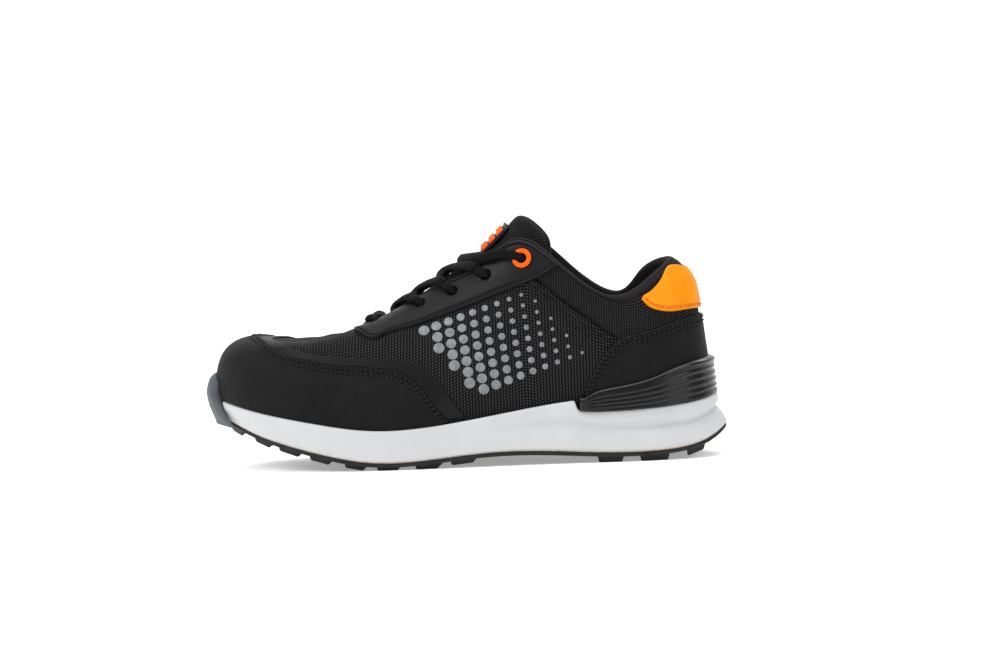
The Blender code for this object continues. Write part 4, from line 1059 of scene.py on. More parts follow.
def make_overlays(looks):
    """Panels of the upper with their seams; gives back the rows of stitches to sew."""
    sewn = {"thread": [], "tab_thread": []}
    guard_line = spline(both_sides(GUARD_FRONT, GUARD_SIDE), PATCH_COLUMNS)
    trim_line = spline(both_sides(TRIM_FRONT, TRIM_SIDE), PATCH_COLUMNS)
    double = ((ROW_FIRST, True), (ROW_SECOND, True))

    def panel(patch, name, thick, look, node, radius, rows_at, pitch, dips=()):
        patch.build(name, thick, looks[look], node, "guard", radius, rows_at, dips)
        for distance, high in rows_at:
            sewn["thread"].append((patch.line(distance, high), OVERLAY_GAP + thick, pitch))

    guard = Patch(level(guard_line, 0.0), guard_line, 44)
    panel(guard, "guard_panel", GUARD_THICK, "nubuck", "toe_guard", 1.1, double, STITCH_COARSE)
    trim = Patch(guard_line, trim_line, 16)
    trim.build("trim_film", TRIM_THICK, looks["film"], "toe_trim", "trim", 0.7)
    stay_line = spline(both_sides(EYESTAY_FRONT, EYESTAY_SIDE), PATCH_COLUMNS)
    stay_line[:, 1] = np.minimum(stay_line[:, 1], 0.985)
    stay = Patch(stay_line, level(stay_line, 0.992), 44)
    rows_at = ((ROW_STAY_LOW, False), (ROW_FIRST, True))
    dips = hole_dips(PANEL_DIP, HOLE_RADIUS + DIP_WIDER)
    panel(stay, "eyestay_panel", EYESTAY_THICK, "stay", "eyestay", 0.9, rows_at, STITCH_PITCH, dips)
    counter_line = spline(round_heel(COUNTER_SIDE, COUNTER_BACK_Z), PATCH_COLUMNS)
    counter = Patch(level(counter_line, 0.0), counter_line, 40)
    panel(counter, "counter_panel", COUNTER_THICK, "nubuck", "heel_counter", 1.0, double, STITCH_COARSE)
    tab_foot = spline(round_heel(TAB_FOOT, TAB_FOOT_BACK_Z), TAB_COLUMNS)
    tab_top = spline(round_heel(TAB_TOP, TAB_TOP_BACK_Z), TAB_COLUMNS)
    tab = Patch(tab_foot, tab_top, 36)
    tab.build("tab_panel", TAB_THICK, looks["tab"], "heel_tab", "tab", 1.0, ((ROW_FIRST, False),))
    sewn["tab_thread"].append((tab.line(ROW_FIRST, False), OVERLAY_GAP + TAB_THICK, STITCH_COARSE))
    for name, side in (("lateral", 1), ("medial", -1)):
        seam = seam_pairs(side)
        front = place([(x - SEAM_BACK, z - SEAM_DOWN) for x, z in SEAM_LINE], 2) * (side, 1)
        strip = Patch(spline(front, SEAM_COLUMNS), seam, 14)
        rows_at = [(distance, True) for distance in SEAM_ROWS]
        strip.build("seam_strip_" + name, SEAM_THICK, looks["mesh"], "quarter_seam_" + name, "mesh", 0.7,
                    rows_at, wedge=True)
        for distance, high in rows_at:
            sewn["thread"].append((strip.line(distance, high), OVERLAY_GAP + SEAM_THICK * 0.7, STITCH_PITCH))
    return sewn


def side_turns(fine_step):
    """Turns round the sole, closer together at toe and heel."""
    turns = np.concatenate([np.arange(0, 2, fine_step / 2), np.arange(2, 9, fine_step),
                            np.arange(9, HALF, fine_step / 2), [HALF]])
    return loop_turns(turns)


def top_line(turn):
    """Height of the midsole's top edge, easing down under the heel clip."""
    under = smooth(CLIP_TURN - 0.03, CLIP_TURN + 0.05, side_of(turn))
    return sole("rim_z", turn) * (1 - under) + sole("clip_z", turn) * under


def side_profile(down, name):
    """Column of SIDE at a share of the midsole's height, eased between its rows."""
    downs = np.concatenate([[0], column(SIDE, SIDE_COLUMNS, "down"), [1]])
    last = {"flare": 1.0, "scoop": 0.0}[name]
    values = np.concatenate([[0], column(SIDE, SIDE_COLUMNS, name), [last]])
    around_here = down + np.linspace(-0.035, 0.035, 9)
    return np.interp(np.clip(around_here, 0, 1), downs, values).mean()


def cap(loop, faces, verts, start, flip):
    """Strips across a closed loop of points from its first to its middle point."""
    count = len(loop)
    half = count // 2
    lanes = 6
    rungs = []
    for i in range(1, half):
        inner = []
        for lane in range(1, lanes):
            inner.append(len(verts))
            verts.append(loop[i] + (loop[count - i] - loop[i]) * lane / lanes)
        rungs.append([start + i] + inner + [start + count - i])
    for first, second in zip(rungs, rungs[1:]):
        for j in range(lanes):
            faces.append([first[j], first[j + 1], second[j + 1], second[j]][::-1 if flip else 1])
    for tip, rung in ((start, rungs[0]), (start + half, rungs[-1])):
        for j in range(lanes):
            faces.append([tip, rung[j], rung[j + 1]])


def slab(name, loops, looks, node):
    """Closed form of loops down a side, with strips across its first and last loop."""
    count = len(loops[0])
    verts = [point for loop in loops for point in loop]
    faces = grid_faces(len(loops), count, 0, False, True).tolist()
    cap(loops[0], faces, verts, 0, False)
    cap(loops[-1], faces, verts, (len(loops) - 1) * count, True)
    return put(name, np.array(verts), faces, looks, node)


def make_midsole(look):
    """Foam cup: floor inside, rim on the upper, rounded edge, then the side with its hollow at the heel."""
    turn = side_turns(0.05)
    top = top_line(turn)
    joint = sole("joint_z", turn)
    top_out = sole("top_out", turn)
    bottom_out = sole("bottom_out", turn)
    scoop = sole("scoop", turn) * SCOOP_MORE
    floor = skin(turn, 0.0) - outward(turn) * (SEAT_IN - GAP)
    floor[:, 2] = sole("floor_z", turn)
    rim = surface(turn, rise_at(turn, top), np.full_like(turn, GAP))
    low = top < skin(turn, 0.0)[:, 2]
    rim[low] = (skin(turn, 0.0) + outward(turn) * GAP)[low]
    rim[:, 2] = top
    eased = smooth(CLIP_TURN - 0.5, CLIP_TURN + 0.5, side_of(turn))
    eased = sole("rim_z", turn) * (1 - eased) + sole("clip_z", turn) * eased
    loops = [floor, rim]
    for angle in np.linspace(0, pi / 2, 6):
        out = top_out - RIM_ROUND * 2 * (1 - sin(angle))
        loops.append(sole_point(turn, out, top - RIM_ROUND * 2 * (1 - cos(angle))))
    for down in np.linspace(*MIDSOLE_DOWN, MIDSOLE_ROWS):
        out = top_out + (bottom_out - top_out) * side_profile(down, "flare")
        out = out - scoop * side_profile(down, "scoop")
        height = np.minimum(eased + (joint - eased) * down, top - RIM_ROUND * 2 - 0.6 * down)
        loops.append(sole_point(turn, out, height))
    loops.append(sole_point(turn, bottom_out - RIM_ROUND, joint))
    return slab("midsole_foam", loops, [look], "midsole")


def lug_block(start, end, depth, lane):
    """One lug of the tread: base corners on the outsole's underside and a smaller foot."""
    corners = []
    for x in (start, end):
        turn = float(turn_at(x))
        out = sole("bottom_out", turn) - RIM_ROUND
        under = sole("joint_z", turn) - GAP - RUBBER
        left = sole_point(np.array(turn), out, under)
        right = sole_point(np.array(-turn), out, under)
        corners += [left + (right - left) * share for share in lane]
    base = np.array([corners[0], corners[1], corners[3], corners[2]])
    foot = base.copy()
    centre = base.mean(0)
    inward = centre - base
    inward[:, 2] = 0
    foot += unit(inward) * LUG_TAPER
    foot[:, 2] = np.maximum(0, base[:, 2] - depth)
    base[:, 2] += LUG_SUNK
    return base, foot


def make_outsole(look):
    """Rubber plate with a rounded edge, and the bevelled lugs of its tread."""
    turn = side_turns(0.06)
    out = sole("bottom_out", turn)
    joint = sole("joint_z", turn) - GAP
    loops = [sole_point(turn, out - RIM_ROUND * 2, joint)]
    for angle in np.linspace(0, pi, 7):
        height = joint - RUBBER * (1 - cos(angle)) / 2
        loops.append(sole_point(turn, out - RIM_ROUND * (1 - sin(angle)), height))
    loops.append(sole_point(turn, out - RIM_ROUND * 2, joint - RUBBER))
    slab("outsole_rubber", loops, [look], "outsole")
    work = bmesh.new()
    for start, end, depth in LUGS.values():
        for lane in LUG_LANES:
            base, foot = lug_block(start, end, depth, lane)
            made = [work.verts.new(point * UNIT) for point in np.concatenate([base, foot])]
            sides = [[made[k], made[(k + 1) % 4], made[4 + (k + 1) % 4], made[4 + k]] for k in range(4)]
            for corners in sides + [made[:4][::-1], made[4:]]:
                work.faces.new(corners)
    bmesh.ops.recalc_face_normals(work, faces=work.faces)
    bmesh.ops.bevel(work, geom=list(work.edges), offset=LUG_BEVEL * UNIT, segments=2, affect="EDGES",
                    clamp_overlap=True)
    points = np.array([vert.co for vert in work.verts]) / UNIT
    work.verts.index_update()
    block_faces = [[vert.index for vert in face.verts] for face in work.faces]
    work.free()
    put("tread_lugs", points, block_faces, [look], None, sharp=0.6)


def make_bumper(look):
    """Turned-up front of the outsole, outside the midsole and the toe guard, narrower towards its lip."""
    share = np.linspace(-1, 1, BUMPER_COLUMNS)
    top = BUMPER_TOP_Z - BUMPER_DROP * share ** 4
    foot = sole("joint_z", BUMPER_FOOT_TURN * share) - GAP - RUBBER + BUMPER_FOOT_LIFT
    outer = []
    inner = []
    for climb in np.linspace(0, 1, BUMPER_ROWS):
        z = foot + (top - foot) * climb
        turn = share * np.interp(z, *BUMPER_EDGE)
        back = surface(turn, rise_at(turn, z), np.full_like(turn, GUARD_THICK + OVERLAY_GAP + COVER_GAP))
        beside = sole_point(turn, midsole_out(turn, z) + BUMPER_BESIDE, z)
        inside = ((back - beside) * outward(turn)).sum(1) < 0
        back[inside] = beside[inside]
        back[:, 2] = z
        thick = np.interp(z, *BUMPER_SWELL)
        side = lengths(back[None], 1)[0]
        end = np.minimum(side, side[-1] - side)
        thick = thick * edge_round(end + 0.25, BUMPER_END_ROUND)
        thick = thick * edge_round(top - z + 0.2, BUMPER_LIP_ROUND)
        inner.append(back - outward(turn) * COVER_SUNK)
        outer.append(back + outward(turn) * thick[:, None])
    outer = np.array(outer)
    for _ in range(6):
        outer[1:-1] = outer[1:-1] * 0.5 + (outer[:-2] + outer[2:]) * 0.25
    verts, faces = shell(outer, np.array(inner))
    return put("toe_bumper", verts, faces, [look], None)


def make_clip(look):
    """Heel stabiliser over the counter, with ribs that run together at its rounded front."""
    high = spline(round_heel(CLIP_CREST, CLIP_CREST_BACK_Z), 400)
    start = CLIP_TURN + CLIP_PAST_TURN
    turn = np.linspace(start, LOOP - start, CLIP_COLUMNS)
    top_rise = np.interp(turn, high[:, 0], high[:, 1])
    foot = sole("clip_z", turn) + GAP
    low_rise = rise_at(turn, foot)
    off = COUNTER_THICK + OVERLAY_GAP + COVER_GAP
    levels = np.linspace(0, 1, CLIP_ROWS)[:, None]
    rise = low_rise + (top_rise - low_rise) * levels
    points = skin(np.broadcast_to(turn, rise.shape), rise)
    up = lengths(points, 0)
    along = lengths(points, 1)
    edge = np.minimum(up[-1] - up, np.minimum(along, along[:, -1:] - along))
    thick = CLIP_FOOT_THICK + (CLIP_TOP_THICK - CLIP_FOOT_THICK) * levels
    side = side_of(turn)
    ribs = CLIP_RIBS * levels ** 0.9
    groove = (0.5 + 0.5 * np.cos(2 * pi * ribs)) ** 2
    groove = groove * smooth(*CLIP_RIBS_FROM, levels) * smooth(*CLIP_RIBS_TO, levels)
    depth = CLIP_GROOVE + CLIP_GROOVE_MORE * smooth(*CLIP_GROOVE_TURNS, side)
    lip = CLIP_LIP * np.exp(-((levels - CLIP_LIP_AT) / CLIP_LIP_HALF) ** 2) * smooth(*CLIP_LIP_TURNS, side)
    out = off + (thick - depth * groove + lip) * edge_round(edge + 0.1, CLIP_ROUND)
    turns = np.broadcast_to(turn, rise.shape)
    outer = surface(turns, rise, out)
    inner = surface(turns, rise, np.full_like(rise, off - COVER_SUNK))
    outer[0, :, 2] = foot
    inner[0, :, 2] = foot
    verts, faces = shell(outer, inner)
    return put("clip_shell", verts, faces, [look], "heel_clip")


def refine(grid, rows, columns):
    """A grid of points filled in by cubics along both its directions."""
    tall = np.stack([line3(grid[:, k], rows) for k in range(grid.shape[1])], 1)
    return np.stack([line3(tall[k], columns) for k in range(rows)], 0)


def make_tongue(mesh_look, lining_look):
    """Padded tongue, thin under the eyestay and thick at its free end."""
    grid = refine(tongue_grid(), TONGUE_ROWS, TONGUE_COLUMNS)
    ups = grid_normals(grid)
    along = lengths(grid, 0)
    across = lengths(grid, 1)
    reach = along / along[-1:]
    thick = TONGUE_THIN + (TONGUE_THICK - TONGUE_THIN) * smooth(*TONGUE_PAD_REACH, reach)
    edge = np.minimum(np.minimum(across, across[:, -1:] - across), along[-1:] - along)
    full = edge_round(edge + 0.3, TONGUE_ROUND)
    at_end = smooth(*TONGUE_END_REACH, reach)
    dent = TONGUE_DENT * np.exp(-((reach - TONGUE_DENT_AT) / TONGUE_DENT_HALF) ** 2)
    swell = TONGUE_SWELL * at_end - dent
    grid = grid + ups * swell[..., None]
    aside = np.abs(np.linspace(-1, 1, grid.shape[1]))
    grid[..., 0] += TONGUE_SPREAD * at_end * smooth(*TONGUE_ASIDE, aside)
    outer = grid - ups * (thick * (1 - full) / 2)[..., None]
    inner = grid - ups * (thick * (1 + full) / 2)[..., None]
    verts, faces = shell(outer, inner)
    middle = TONGUE_COLUMNS // 2
    cloth = np.stack([along, across - across[:, middle:middle + 1]], -1).reshape(-1, 2)
    uv = face_uv(faces, np.concatenate([cloth, cloth]))
    front = (TONGUE_ROWS - 1) * (TONGUE_COLUMNS - 1)
    looks_of = np.concatenate([np.zeros(front, int), np.ones(len(faces) - front, int)])
    piece = put("tongue_pad", verts, faces, [mesh_look, lining_look], "tongue", uv, looks_of)
    return piece


def make_label(base_look, block_look):
    """Rubber tab on the tongue with plain raised blocks."""
    outer = tongue_grid()
    back = len(TONGUE_STATIONS) - 2
    middle = outer.shape[1] // 2
    across = slice(middle - 1, middle + 2)
    front = outer[back - 1, across] + (outer[back] - outer[back - 1])[across] * LABEL_START
    end = outer[back + 1, across] + (outer[back + 2] - outer[back + 1])[across] * LABEL_END
    rows = np.array([front, outer[back, across], outer[back + 1, across], end])
    base = refine(rows, LABEL_FINE, LABEL_FINE)
    even = np.linspace(0, 1, LABEL_FINE)
    reach = lengths(base, 0) / lengths(base, 0)[-1]
    lines = []
    for k in range(LABEL_FINE):
        lines.append([np.interp(even, reach[:, k], base[:, k, axis]) for axis in range(3)])
    base = np.array(lines).transpose(2, 0, 1)
    ups = grid_normals(base)
    along = lengths(base, 0)
    wide = lengths(base, 1)
    edge = np.minimum(np.minimum(along, along[-1:] - along), np.minimum(wide, wide[:, -1:] - wide))
    seat = LABEL_SEAT + LABEL_TILT * even
    out = seat + LABEL_THICK * (0.35 + 0.65 * edge_round(edge, LABEL_ROUND))
    out = out - LABEL_RECESS * smooth(*LABEL_RIM, edge)
    verts, faces = shell(base + ups * out[..., None], base - ups * GAP)
    put("label_tab", verts, faces, [base_look], "tongue_label")
    verts = []
    faces = []
    for first, last in LABEL_BLOCKS_ALONG:
        for left, right in LABEL_BLOCKS_ACROSS:
            rows = np.arange(int(LABEL_FINE * first), int(LABEL_FINE * last))
            columns = np.arange(int(LABEL_FINE * left), int(LABEL_FINE * right))
            patch = base[np.ix_(rows, columns)]
            lift = ups[np.ix_(rows, columns)]
            tall = lengths(patch, 0)
            broad = lengths(patch, 1)
            near = np.minimum(np.minimum(tall, tall[-1:] - tall), np.minimum(broad, broad[:, -1:] - broad))
            low = seat[columns] + LABEL_THICK - LABEL_BLOCK_SUNK
            high = low + LABEL_BLOCK_FOOT + LABEL_BLOCK_HIGH * edge_round(near, LABEL_BLOCK_ROUND)
            start = sum(len(v) for v in verts)
            block, sides = shell(patch + lift * high[..., None], patch + lift * low[:, None])
            verts.append(block)
            faces += (sides + start).tolist()
    put("label_blocks", np.concatenate(verts), faces, [block_look], None)


def make_insole(look):
    """Loose insole with a soft upper edge, flat on the midsole's floor."""
    turn = side_turns(0.1)
    inset = SEAT_IN + WALL + INSOLE_CLEAR
    floor = sole("floor_z", turn) + GAP
    profile = ((INSOLE_ROUND, 0.0), (0.0, INSOLE_ROUND), (0.0, INSOLE_THICK - INSOLE_SOFT),
               (0.35, INSOLE_THICK - 0.4), (INSOLE_SOFT, INSOLE_THICK))
    loops = [sole_point(turn, np.full_like(turn, -inset - inward), floor + up) for inward, up in profile]
    piece = slab("insole_pad", loops, [look], "insole")
    return piece


def make_rings(look):
    """Turned rings of the top eyelets."""
    sides = RING_SIDES
    angle = np.arange(sides) * 2 * pi / sides
    tube = np.linspace(0, 2 * pi, RING_TUBE, endpoint=False)
    middle = (RING_RADIUS + RING_BORE) / 2
    half = (RING_RADIUS - RING_BORE) / 2
    for name, side in (("lateral", 1), ("medial", -1)):
        turn, rise = HOLES[-1]
        centre = surface(side * turn, rise, OVERLAY_GAP + EYESTAY_THICK + GAP)
        axis = normal(side * turn, rise)
        first = unit(np.cross(axis, (0, 0, 1)))
        second = np.cross(axis, first)
        spokes = np.cos(angle)[:, None] * first + np.sin(angle)[:, None] * second
        radius = middle + half * np.sign(np.cos(tube)) * np.abs(np.cos(tube)) ** SQUARED
        height = np.maximum(RING_RISE * np.sin(tube) + RING_LIFT, -COVER_SUNK)
        rings = centre + spokes[None] * radius[:, None, None] + axis * height[:, None, None]
        faces = grid_faces(len(tube), sides, 0, True, True)
        put("ring_" + name, rings.reshape(-1, 3), faces, [look], "eyelet_" + name)


def cord(name, runs, look, node):
    """Flat-oval lace along one or more runs of points, each with its up direction."""
    verts = []
    faces = []
    corners = []
    sides = CORD_SIDES
    steps = CORD_STEPS
    angle = np.arange(sides) * 2 * pi / sides
    for points in runs:
        path = line3([point for point, _, _ in points], steps)
        ups = line3([up for _, up, _ in points], steps)
        wide = line3([[width, 0, 0] for _, _, width in points], steps)[:, 0]
        ahead = unit(np.gradient(path, axis=0))
        across = unit(np.cross(ahead, ups))
        above = np.cross(across, ahead)
        rib = 1 + BRAID_RIB * np.sin(lengths(path[None], 1)[0] * 2 * pi / BRAID_PITCH)
        half_wide = wide / 2 * rib
        pinch = 1 + LACE_PINCH * smooth(LACE_WIDTH, LACE_WIDTH * LACE_END_WIDTH, wide)
        half_thick = LACE_ROUND / 2 * rib * pinch
        ring = (across[:, None] * np.cos(angle)[None, :, None] * half_wide[:, None, None]
                + above[:, None] * (np.sign(np.sin(angle)) * np.abs(np.sin(angle)) ** SQUARED)[None, :, None]
                * half_thick[:, None, None])
        add_tube(verts, faces, path[:, None] + ring)
        along = np.repeat(lengths(path[None], 1)[0], sides)
        turned = np.tile(np.arange(sides) * LACE_WIDTH * LACE_GIRTH / sides, steps)
        corners += face_uv(grid_faces(steps, sides, 0, False, True), np.stack([along, turned], 1)).tolist()
        corners += [[0, 0]] * (2 * sides)
    return put(name, np.concatenate(verts), faces, [look], node, np.array(corners))


def make_laces(look):
    """The lace's runs over the throat: a bar, three crossings and the top run between the rings."""
    outer = tongue_grid()
    high = OVERLAY_GAP + EYESTAY_THICK + LACE_ROUND / 2

    def at(side, turn, rise, lift, width):
        return surface(side * turn, rise, lift), normal(side * turn, rise), width

    def over(x, lift=0.0, lean=LACE_LEAN):
        up = np.array([-sin(lean), 0, cos(lean)])
        return tongue_middle(outer, x) + up * (LACE_ON_PAD + LACE_ROUND / 2 + lift), up, LACE_WIDTH

    def from_hole(side, index):
        turn, rise = HOLES[index]
        edge = LACE_EDGE[index]
        end = (turn + (turn - edge) * LACE_END_BACK, rise - LACE_END_DOWN)
        stops = [at(side, *end, LACE_END_OUT, LACE_WIDTH * LACE_END_WIDTH),
                 at(side, turn, rise, LACE_HOLE_OUT, LACE_WIDTH * LACE_HOLE_WIDTH)]
        for share, lift, width in LACE_OVER_STAY:
            ahead = turn + (edge - turn) * share
            stops.append(at(side, ahead, rise + (1 - rise) * share, high + lift, LACE_WIDTH * width))
        return stops

    cord("lace_run_bar", [from_hole(1, 0) + [over(BAR_X)] + from_hole(-1, 0)[::-1]], look, "lace_bar")
    for index, x in enumerate(CROSS_X, 1):
        runs = []
        for side in (1, -1):
            middle = over(x, CROSS_OVER if side > 0 else CROSS_UNDER)
            far = surface(-side * CROSS_FAR[index - 1], 1.0, -WALL - TONGUE_CLEAR)
            near = middle[0] + (far - middle[0]) * CROSS_NEAR
            near[2] += CROSS_NEAR_LIFT
            last = far + (0.0, CROSS_TUCK * side, -CROSS_TUCK_DOWN)
            crossed = [middle, (near, middle[1], LACE_WIDTH), (last, middle[1], LACE_WIDTH)]
            runs.append(from_hole(side, index) + crossed)
        cord("lace_run_%d" % index, runs, look, "lace_cross_%d" % index)
    ring = len(HOLES) - 1
    top = over(TOP_LACE_X, LACE_LIFT_TOP, LACE_LEAN_TOP)
    cord("lace_run_top", [from_hole(1, ring) + [top] + from_hole(-1, ring)[::-1]], look, "lace_top")


def make_print(look):
    """Reflective dots on both quarters."""
    verts = []
    faces = []
    angle = np.arange(DOT_SIDES) * 2 * pi / DOT_SIDES
    spots = []
    for row in range(PRINT_ROWS):
        for step in range(PRINT_COLUMNS):
            back = step + 0.5 * (row % 2)
            x = PRINT_CORNER[0] + back * PRINT_BACK[0] + row * PRINT_DOWN[0]
            z = PRINT_CORNER[1] + back * PRINT_BACK[1] + row * PRINT_DOWN[1]
            size = PRINT_LARGE + (PRINT_SMALL - PRINT_LARGE) * back / PRINT_COLUMNS
            if x + PRINT_SLANT * z < PRINT_END:
                spots.append((x, z, size))
    pairs = place([(x, z) for x, z, _ in spots], 2)
    for side in (1, -1):
        for (turn, rise), (_, _, size) in zip(pairs, spots):
            turn = turn * side
            by_turn = (skin(turn + STEP, rise) - skin(turn - STEP, rise)) / (2 * STEP)
            by_rise = (skin(turn, rise + STEP) - skin(turn, rise - STEP)) / (2 * STEP)
            first = unit(by_turn)
            second = np.cross(normal(turn, rise), first)
            rings = []
            for share, out in PRINT_PROFILE:
                offsets = size * share * (np.cos(angle)[:, None] * first + np.sin(angle)[:, None] * second)
                moves = np.linalg.lstsq(np.stack([by_turn, by_rise], 1), offsets.T, rcond=None)[0]
                turns = turn + moves[0]
                rises = rise + moves[1]
                rings.append(surface(turns, rises, creases(turns, rises) + out))
            add_tube(verts, faces, np.array(rings))
    return put("quarter_print", np.concatenate(verts), faces, [look], None, sharp=0.5)


def make_glue(look):
    """Thin bead of cement between midsole and outsole."""
    turn = side_turns(0.08)
    out = sole("bottom_out", turn) - CEMENT_IN
    joint = sole("joint_z", turn)
    loops = [sole_point(turn, out + push, joint + up) for push, up in CEMENT_PROFILE]
    faces = grid_faces(len(loops), len(turn), 0, True, True)
    return put("cement_bead", np.concatenate(loops), faces, [look], None)


class Look:
    """A procedural material: nodes are added and joined by short calls."""

    def __init__(self, name, colour, rough, **inputs):
        self.material = bpy.data.materials.new(name)
        self.material.use_nodes = True
        self.tree = self.material.node_tree
        self.shader = self.tree.nodes["Principled BSDF"]
        self.shader.inputs["Base Color"].default_value = rgb(colour)
        self.shader.inputs["Roughness"].default_value = rough
        for key, value in inputs.items():
            self.shader.inputs[key.replace("_", " ")].default_value = value
        self.height = None

    def add(self, kind, settings=None, **values):
        node = self.tree.nodes.new(kind)
        for key, value in (settings or {}).items():
            setattr(node, key, value)
        for key, value in values.items():
            self.feed(node.inputs[key.replace("_", " ")], value)
        return node

    def feed(self, socket, value):
        if isinstance(value, bpy.types.NodeSocket):
            self.tree.links.new(value, socket)
        else:
            socket.default_value = value

    def math(self, operation, first, second=0.5, third=0.5):
        node = self.tree.nodes.new("ShaderNodeMath")
        node.operation = operation
        for socket, value in zip(node.inputs, (first, second, third)):
            self.feed(socket, value)
        return node.outputs[0]

    def place(self, cloth=False, scale=(1000.0, 1000.0, 1000.0)):
        """Coordinates in millimetres: the cloth's own, or the shoe's."""
        spot = self.add("ShaderNodeTexCoord").outputs["UV" if cloth else "Object"]
        mapping = self.add("ShaderNodeMapping", Vector=spot)
        mapping.inputs["Scale"].default_value = scale
        return mapping.outputs[0]

    def noise(self, spot, scale, detail=3.0, rough=0.55, distort=0.0):
        return self.add("ShaderNodeTexNoise", Vector=spot, Scale=scale, Detail=detail, Roughness=rough,
                        Distortion=distort).outputs[0]

    def cells(self, spot, scale, feature="F1"):
        node = self.add("ShaderNodeTexVoronoi", {"feature": feature}, Vector=spot, Scale=scale)
        return node.outputs["Distance"]

    def ramp(self, value, *stops):
        node = self.add("ShaderNodeValToRGB", Fac=value)
        steps = node.color_ramp.elements
        while len(steps) < len(stops):
            steps.new(0.5)
        for step, (spot, colour) in zip(steps, stops):
            step.position = spot
            step.color = rgb(colour) if isinstance(colour, tuple) else (colour, colour, colour, 1.0)
        return node.outputs[0]

    def tint(self, value, *stops):
        """Base colour that follows a value."""
        self.set("Base Color", self.ramp(value, *stops))

    def bump(self, height, strength, distance):
        node = self.add("ShaderNodeBump", Height=height, Strength=strength, Distance=distance)
        if self.height is not None:
            self.tree.links.new(self.height, node.inputs["Normal"])
        self.height = node.outputs[0]
        self.tree.links.new(self.height, self.shader.inputs["Normal"])

    def set(self, socket, value):
        self.feed(self.shader.inputs[socket], value)


def linear(value):
    """Screen value from 0 to 255 as light."""
    value = value / 255
    return value / 12.92 if value <= 0.04045 else ((value + 0.055) / 1.055) ** 2.4


def rgb(colour):
    return tuple(linear(value) for value in colour) + (1.0,)


def mesh_look(name, shade=(1, 1, 1), light=(54, 53, 54), pitch=MESH_PITCH):
    """Air mesh: slanting rows of small holes in soft yarn."""
    look = Look(name, shade, 0.7, Specular_IOR_Level=0.07)
    cloth = look.place(True, (1.0, 1.0, 1.0))
    parts = look.add("ShaderNodeSeparateXYZ", Vector=cloth)
    along = look.math("MULTIPLY", parts.outputs[0], pi / pitch)
    down = look.math("MULTIPLY", parts.outputs[1], pi / pitch)
    first = look.math("SINE", look.math("ADD", along, down))
    second = look.math("SINE", look.math("SUBTRACT", along, down))
    holes = look.math("MULTIPLY", first, second)
    yarn = look.noise(cloth, 3.4, 3.0)
    even = look.math("MULTIPLY_ADD", holes, 0.5, look.math("MULTIPLY_ADD", yarn, 0.3, 0.35))
    half = tuple(value * 0.62 for value in light)
    look.tint(even, (0.42, shade), (0.62, half), (0.92, light))
    look.bump(look.math("MULTIPLY_ADD", holes, 0.6, yarn), 0.75, 0.00035)
    return look


def nubuck_look(name):
    """Suede-like microfibre: fine nap with clouds, rubbed lighter in places."""
    look = Look(name, (5, 5, 6), 0.78, Specular_IOR_Level=0.14, Sheen_Weight=0.07, Sheen_Roughness=0.35)
    spot = look.place()
    clouds = look.noise(spot, 0.07, 4.0, 0.6, 0.4)
    nap = look.noise(spot, 2.6, 5.0, 0.7)
    mixed = look.math("MULTIPLY_ADD", nap, 0.75, look.math("MULTIPLY", clouds, 0.5))
    specks = look.math("MULTIPLY", look.math("GREATER_THAN", look.noise(spot, 0.9, 1.0), 0.735), 0.2)
    mixed = look.math("ADD", mixed, specks)
    look.tint(mixed, (0.36, (5, 5, 6)), (0.85, (20, 19, 20)), (1.0, (70, 70, 70)))
    look.bump(nap, 0.5, 0.00028)
    look.bump(look.noise(spot, 0.5, 3.0), 0.25, 0.0005)
    return look


def film_look(name, shade=(8, 8, 9), rough=0.5):
    """Smooth coated film with a fine leather-like grain."""
    look = Look(name, shade, rough, Specular_IOR_Level=0.15)
    spot = look.place()
    grain = look.cells(spot, 1.5, "DISTANCE_TO_EDGE")
    look.bump(look.math("MINIMUM", grain, 0.22), 0.35, 0.00022)
    look.bump(look.noise(spot, 0.14, 3.0), 0.25, 0.0009)
    rubs = look.noise(spot, 0.09, 5.0, 0.65, 0.6)
    look.set("Roughness", look.ramp(rubs, (0.35, max(rough - 0.08, 0.1)), (0.7, min(rough + 0.12, 0.9))))
    return look


def foam_look(name):
    """White moulded foam with pebble grain, lightly soiled in soft clouds."""
    look = Look(name, (192, 193, 196), 0.55, Specular_IOR_Level=0.2, Subsurface_Weight=0.05)
    look.shader.inputs["Subsurface Radius"].default_value = (0.003, 0.003, 0.003)
    look.shader.inputs["Subsurface Scale"].default_value = 0.4
    spot = look.place()
    pebble = look.cells(spot, 0.75, "SMOOTH_F1")
    look.bump(pebble, 0.3, 0.0005)
    look.bump(look.noise(spot, 0.16, 3.0), 0.2, 0.0007)
    soil = look.noise(spot, 0.05, 5.0, 0.62, 0.3)
    look.tint(soil, (0.30, (176, 177, 179)), (0.62, (181, 182, 184)))
    return look


def rubber_look(name, shade, light):
    """Dull rubber with dust in its fine grain."""
    look = Look(name, shade, 0.56, Specular_IOR_Level=0.18)
    spot = look.place()
    dust = look.noise(spot, 0.08, 6.0, 0.66, 0.5)
    look.tint(dust, (0.36, shade), (0.74, light))
    look.set("Roughness", look.ramp(dust, (0.3, 0.48), (0.75, 0.70)))
    look.bump(look.noise(spot, 1.5, 4.0, 0.6), 0.22, 0.0003)
    return look


def clip_look(name):
    """Hard moulded plastic with a satin gloss and light scuffs."""
    look = Look(name, (8, 8, 9), 0.26, Specular_IOR_Level=0.26, Coat_Weight=0.06, Coat_Roughness=0.16)
    spot = look.place()
    scuffs = look.noise(look.place(False, (1000.0, 1000.0, 4000.0)), 0.12, 7.0, 0.7, 0.4)
    look.set("Roughness", look.ramp(scuffs, (0.40, 0.22), (0.72, 0.40)))
    look.bump(look.noise(spot, 0.9, 3.0), 0.12, 0.0003)
    return look


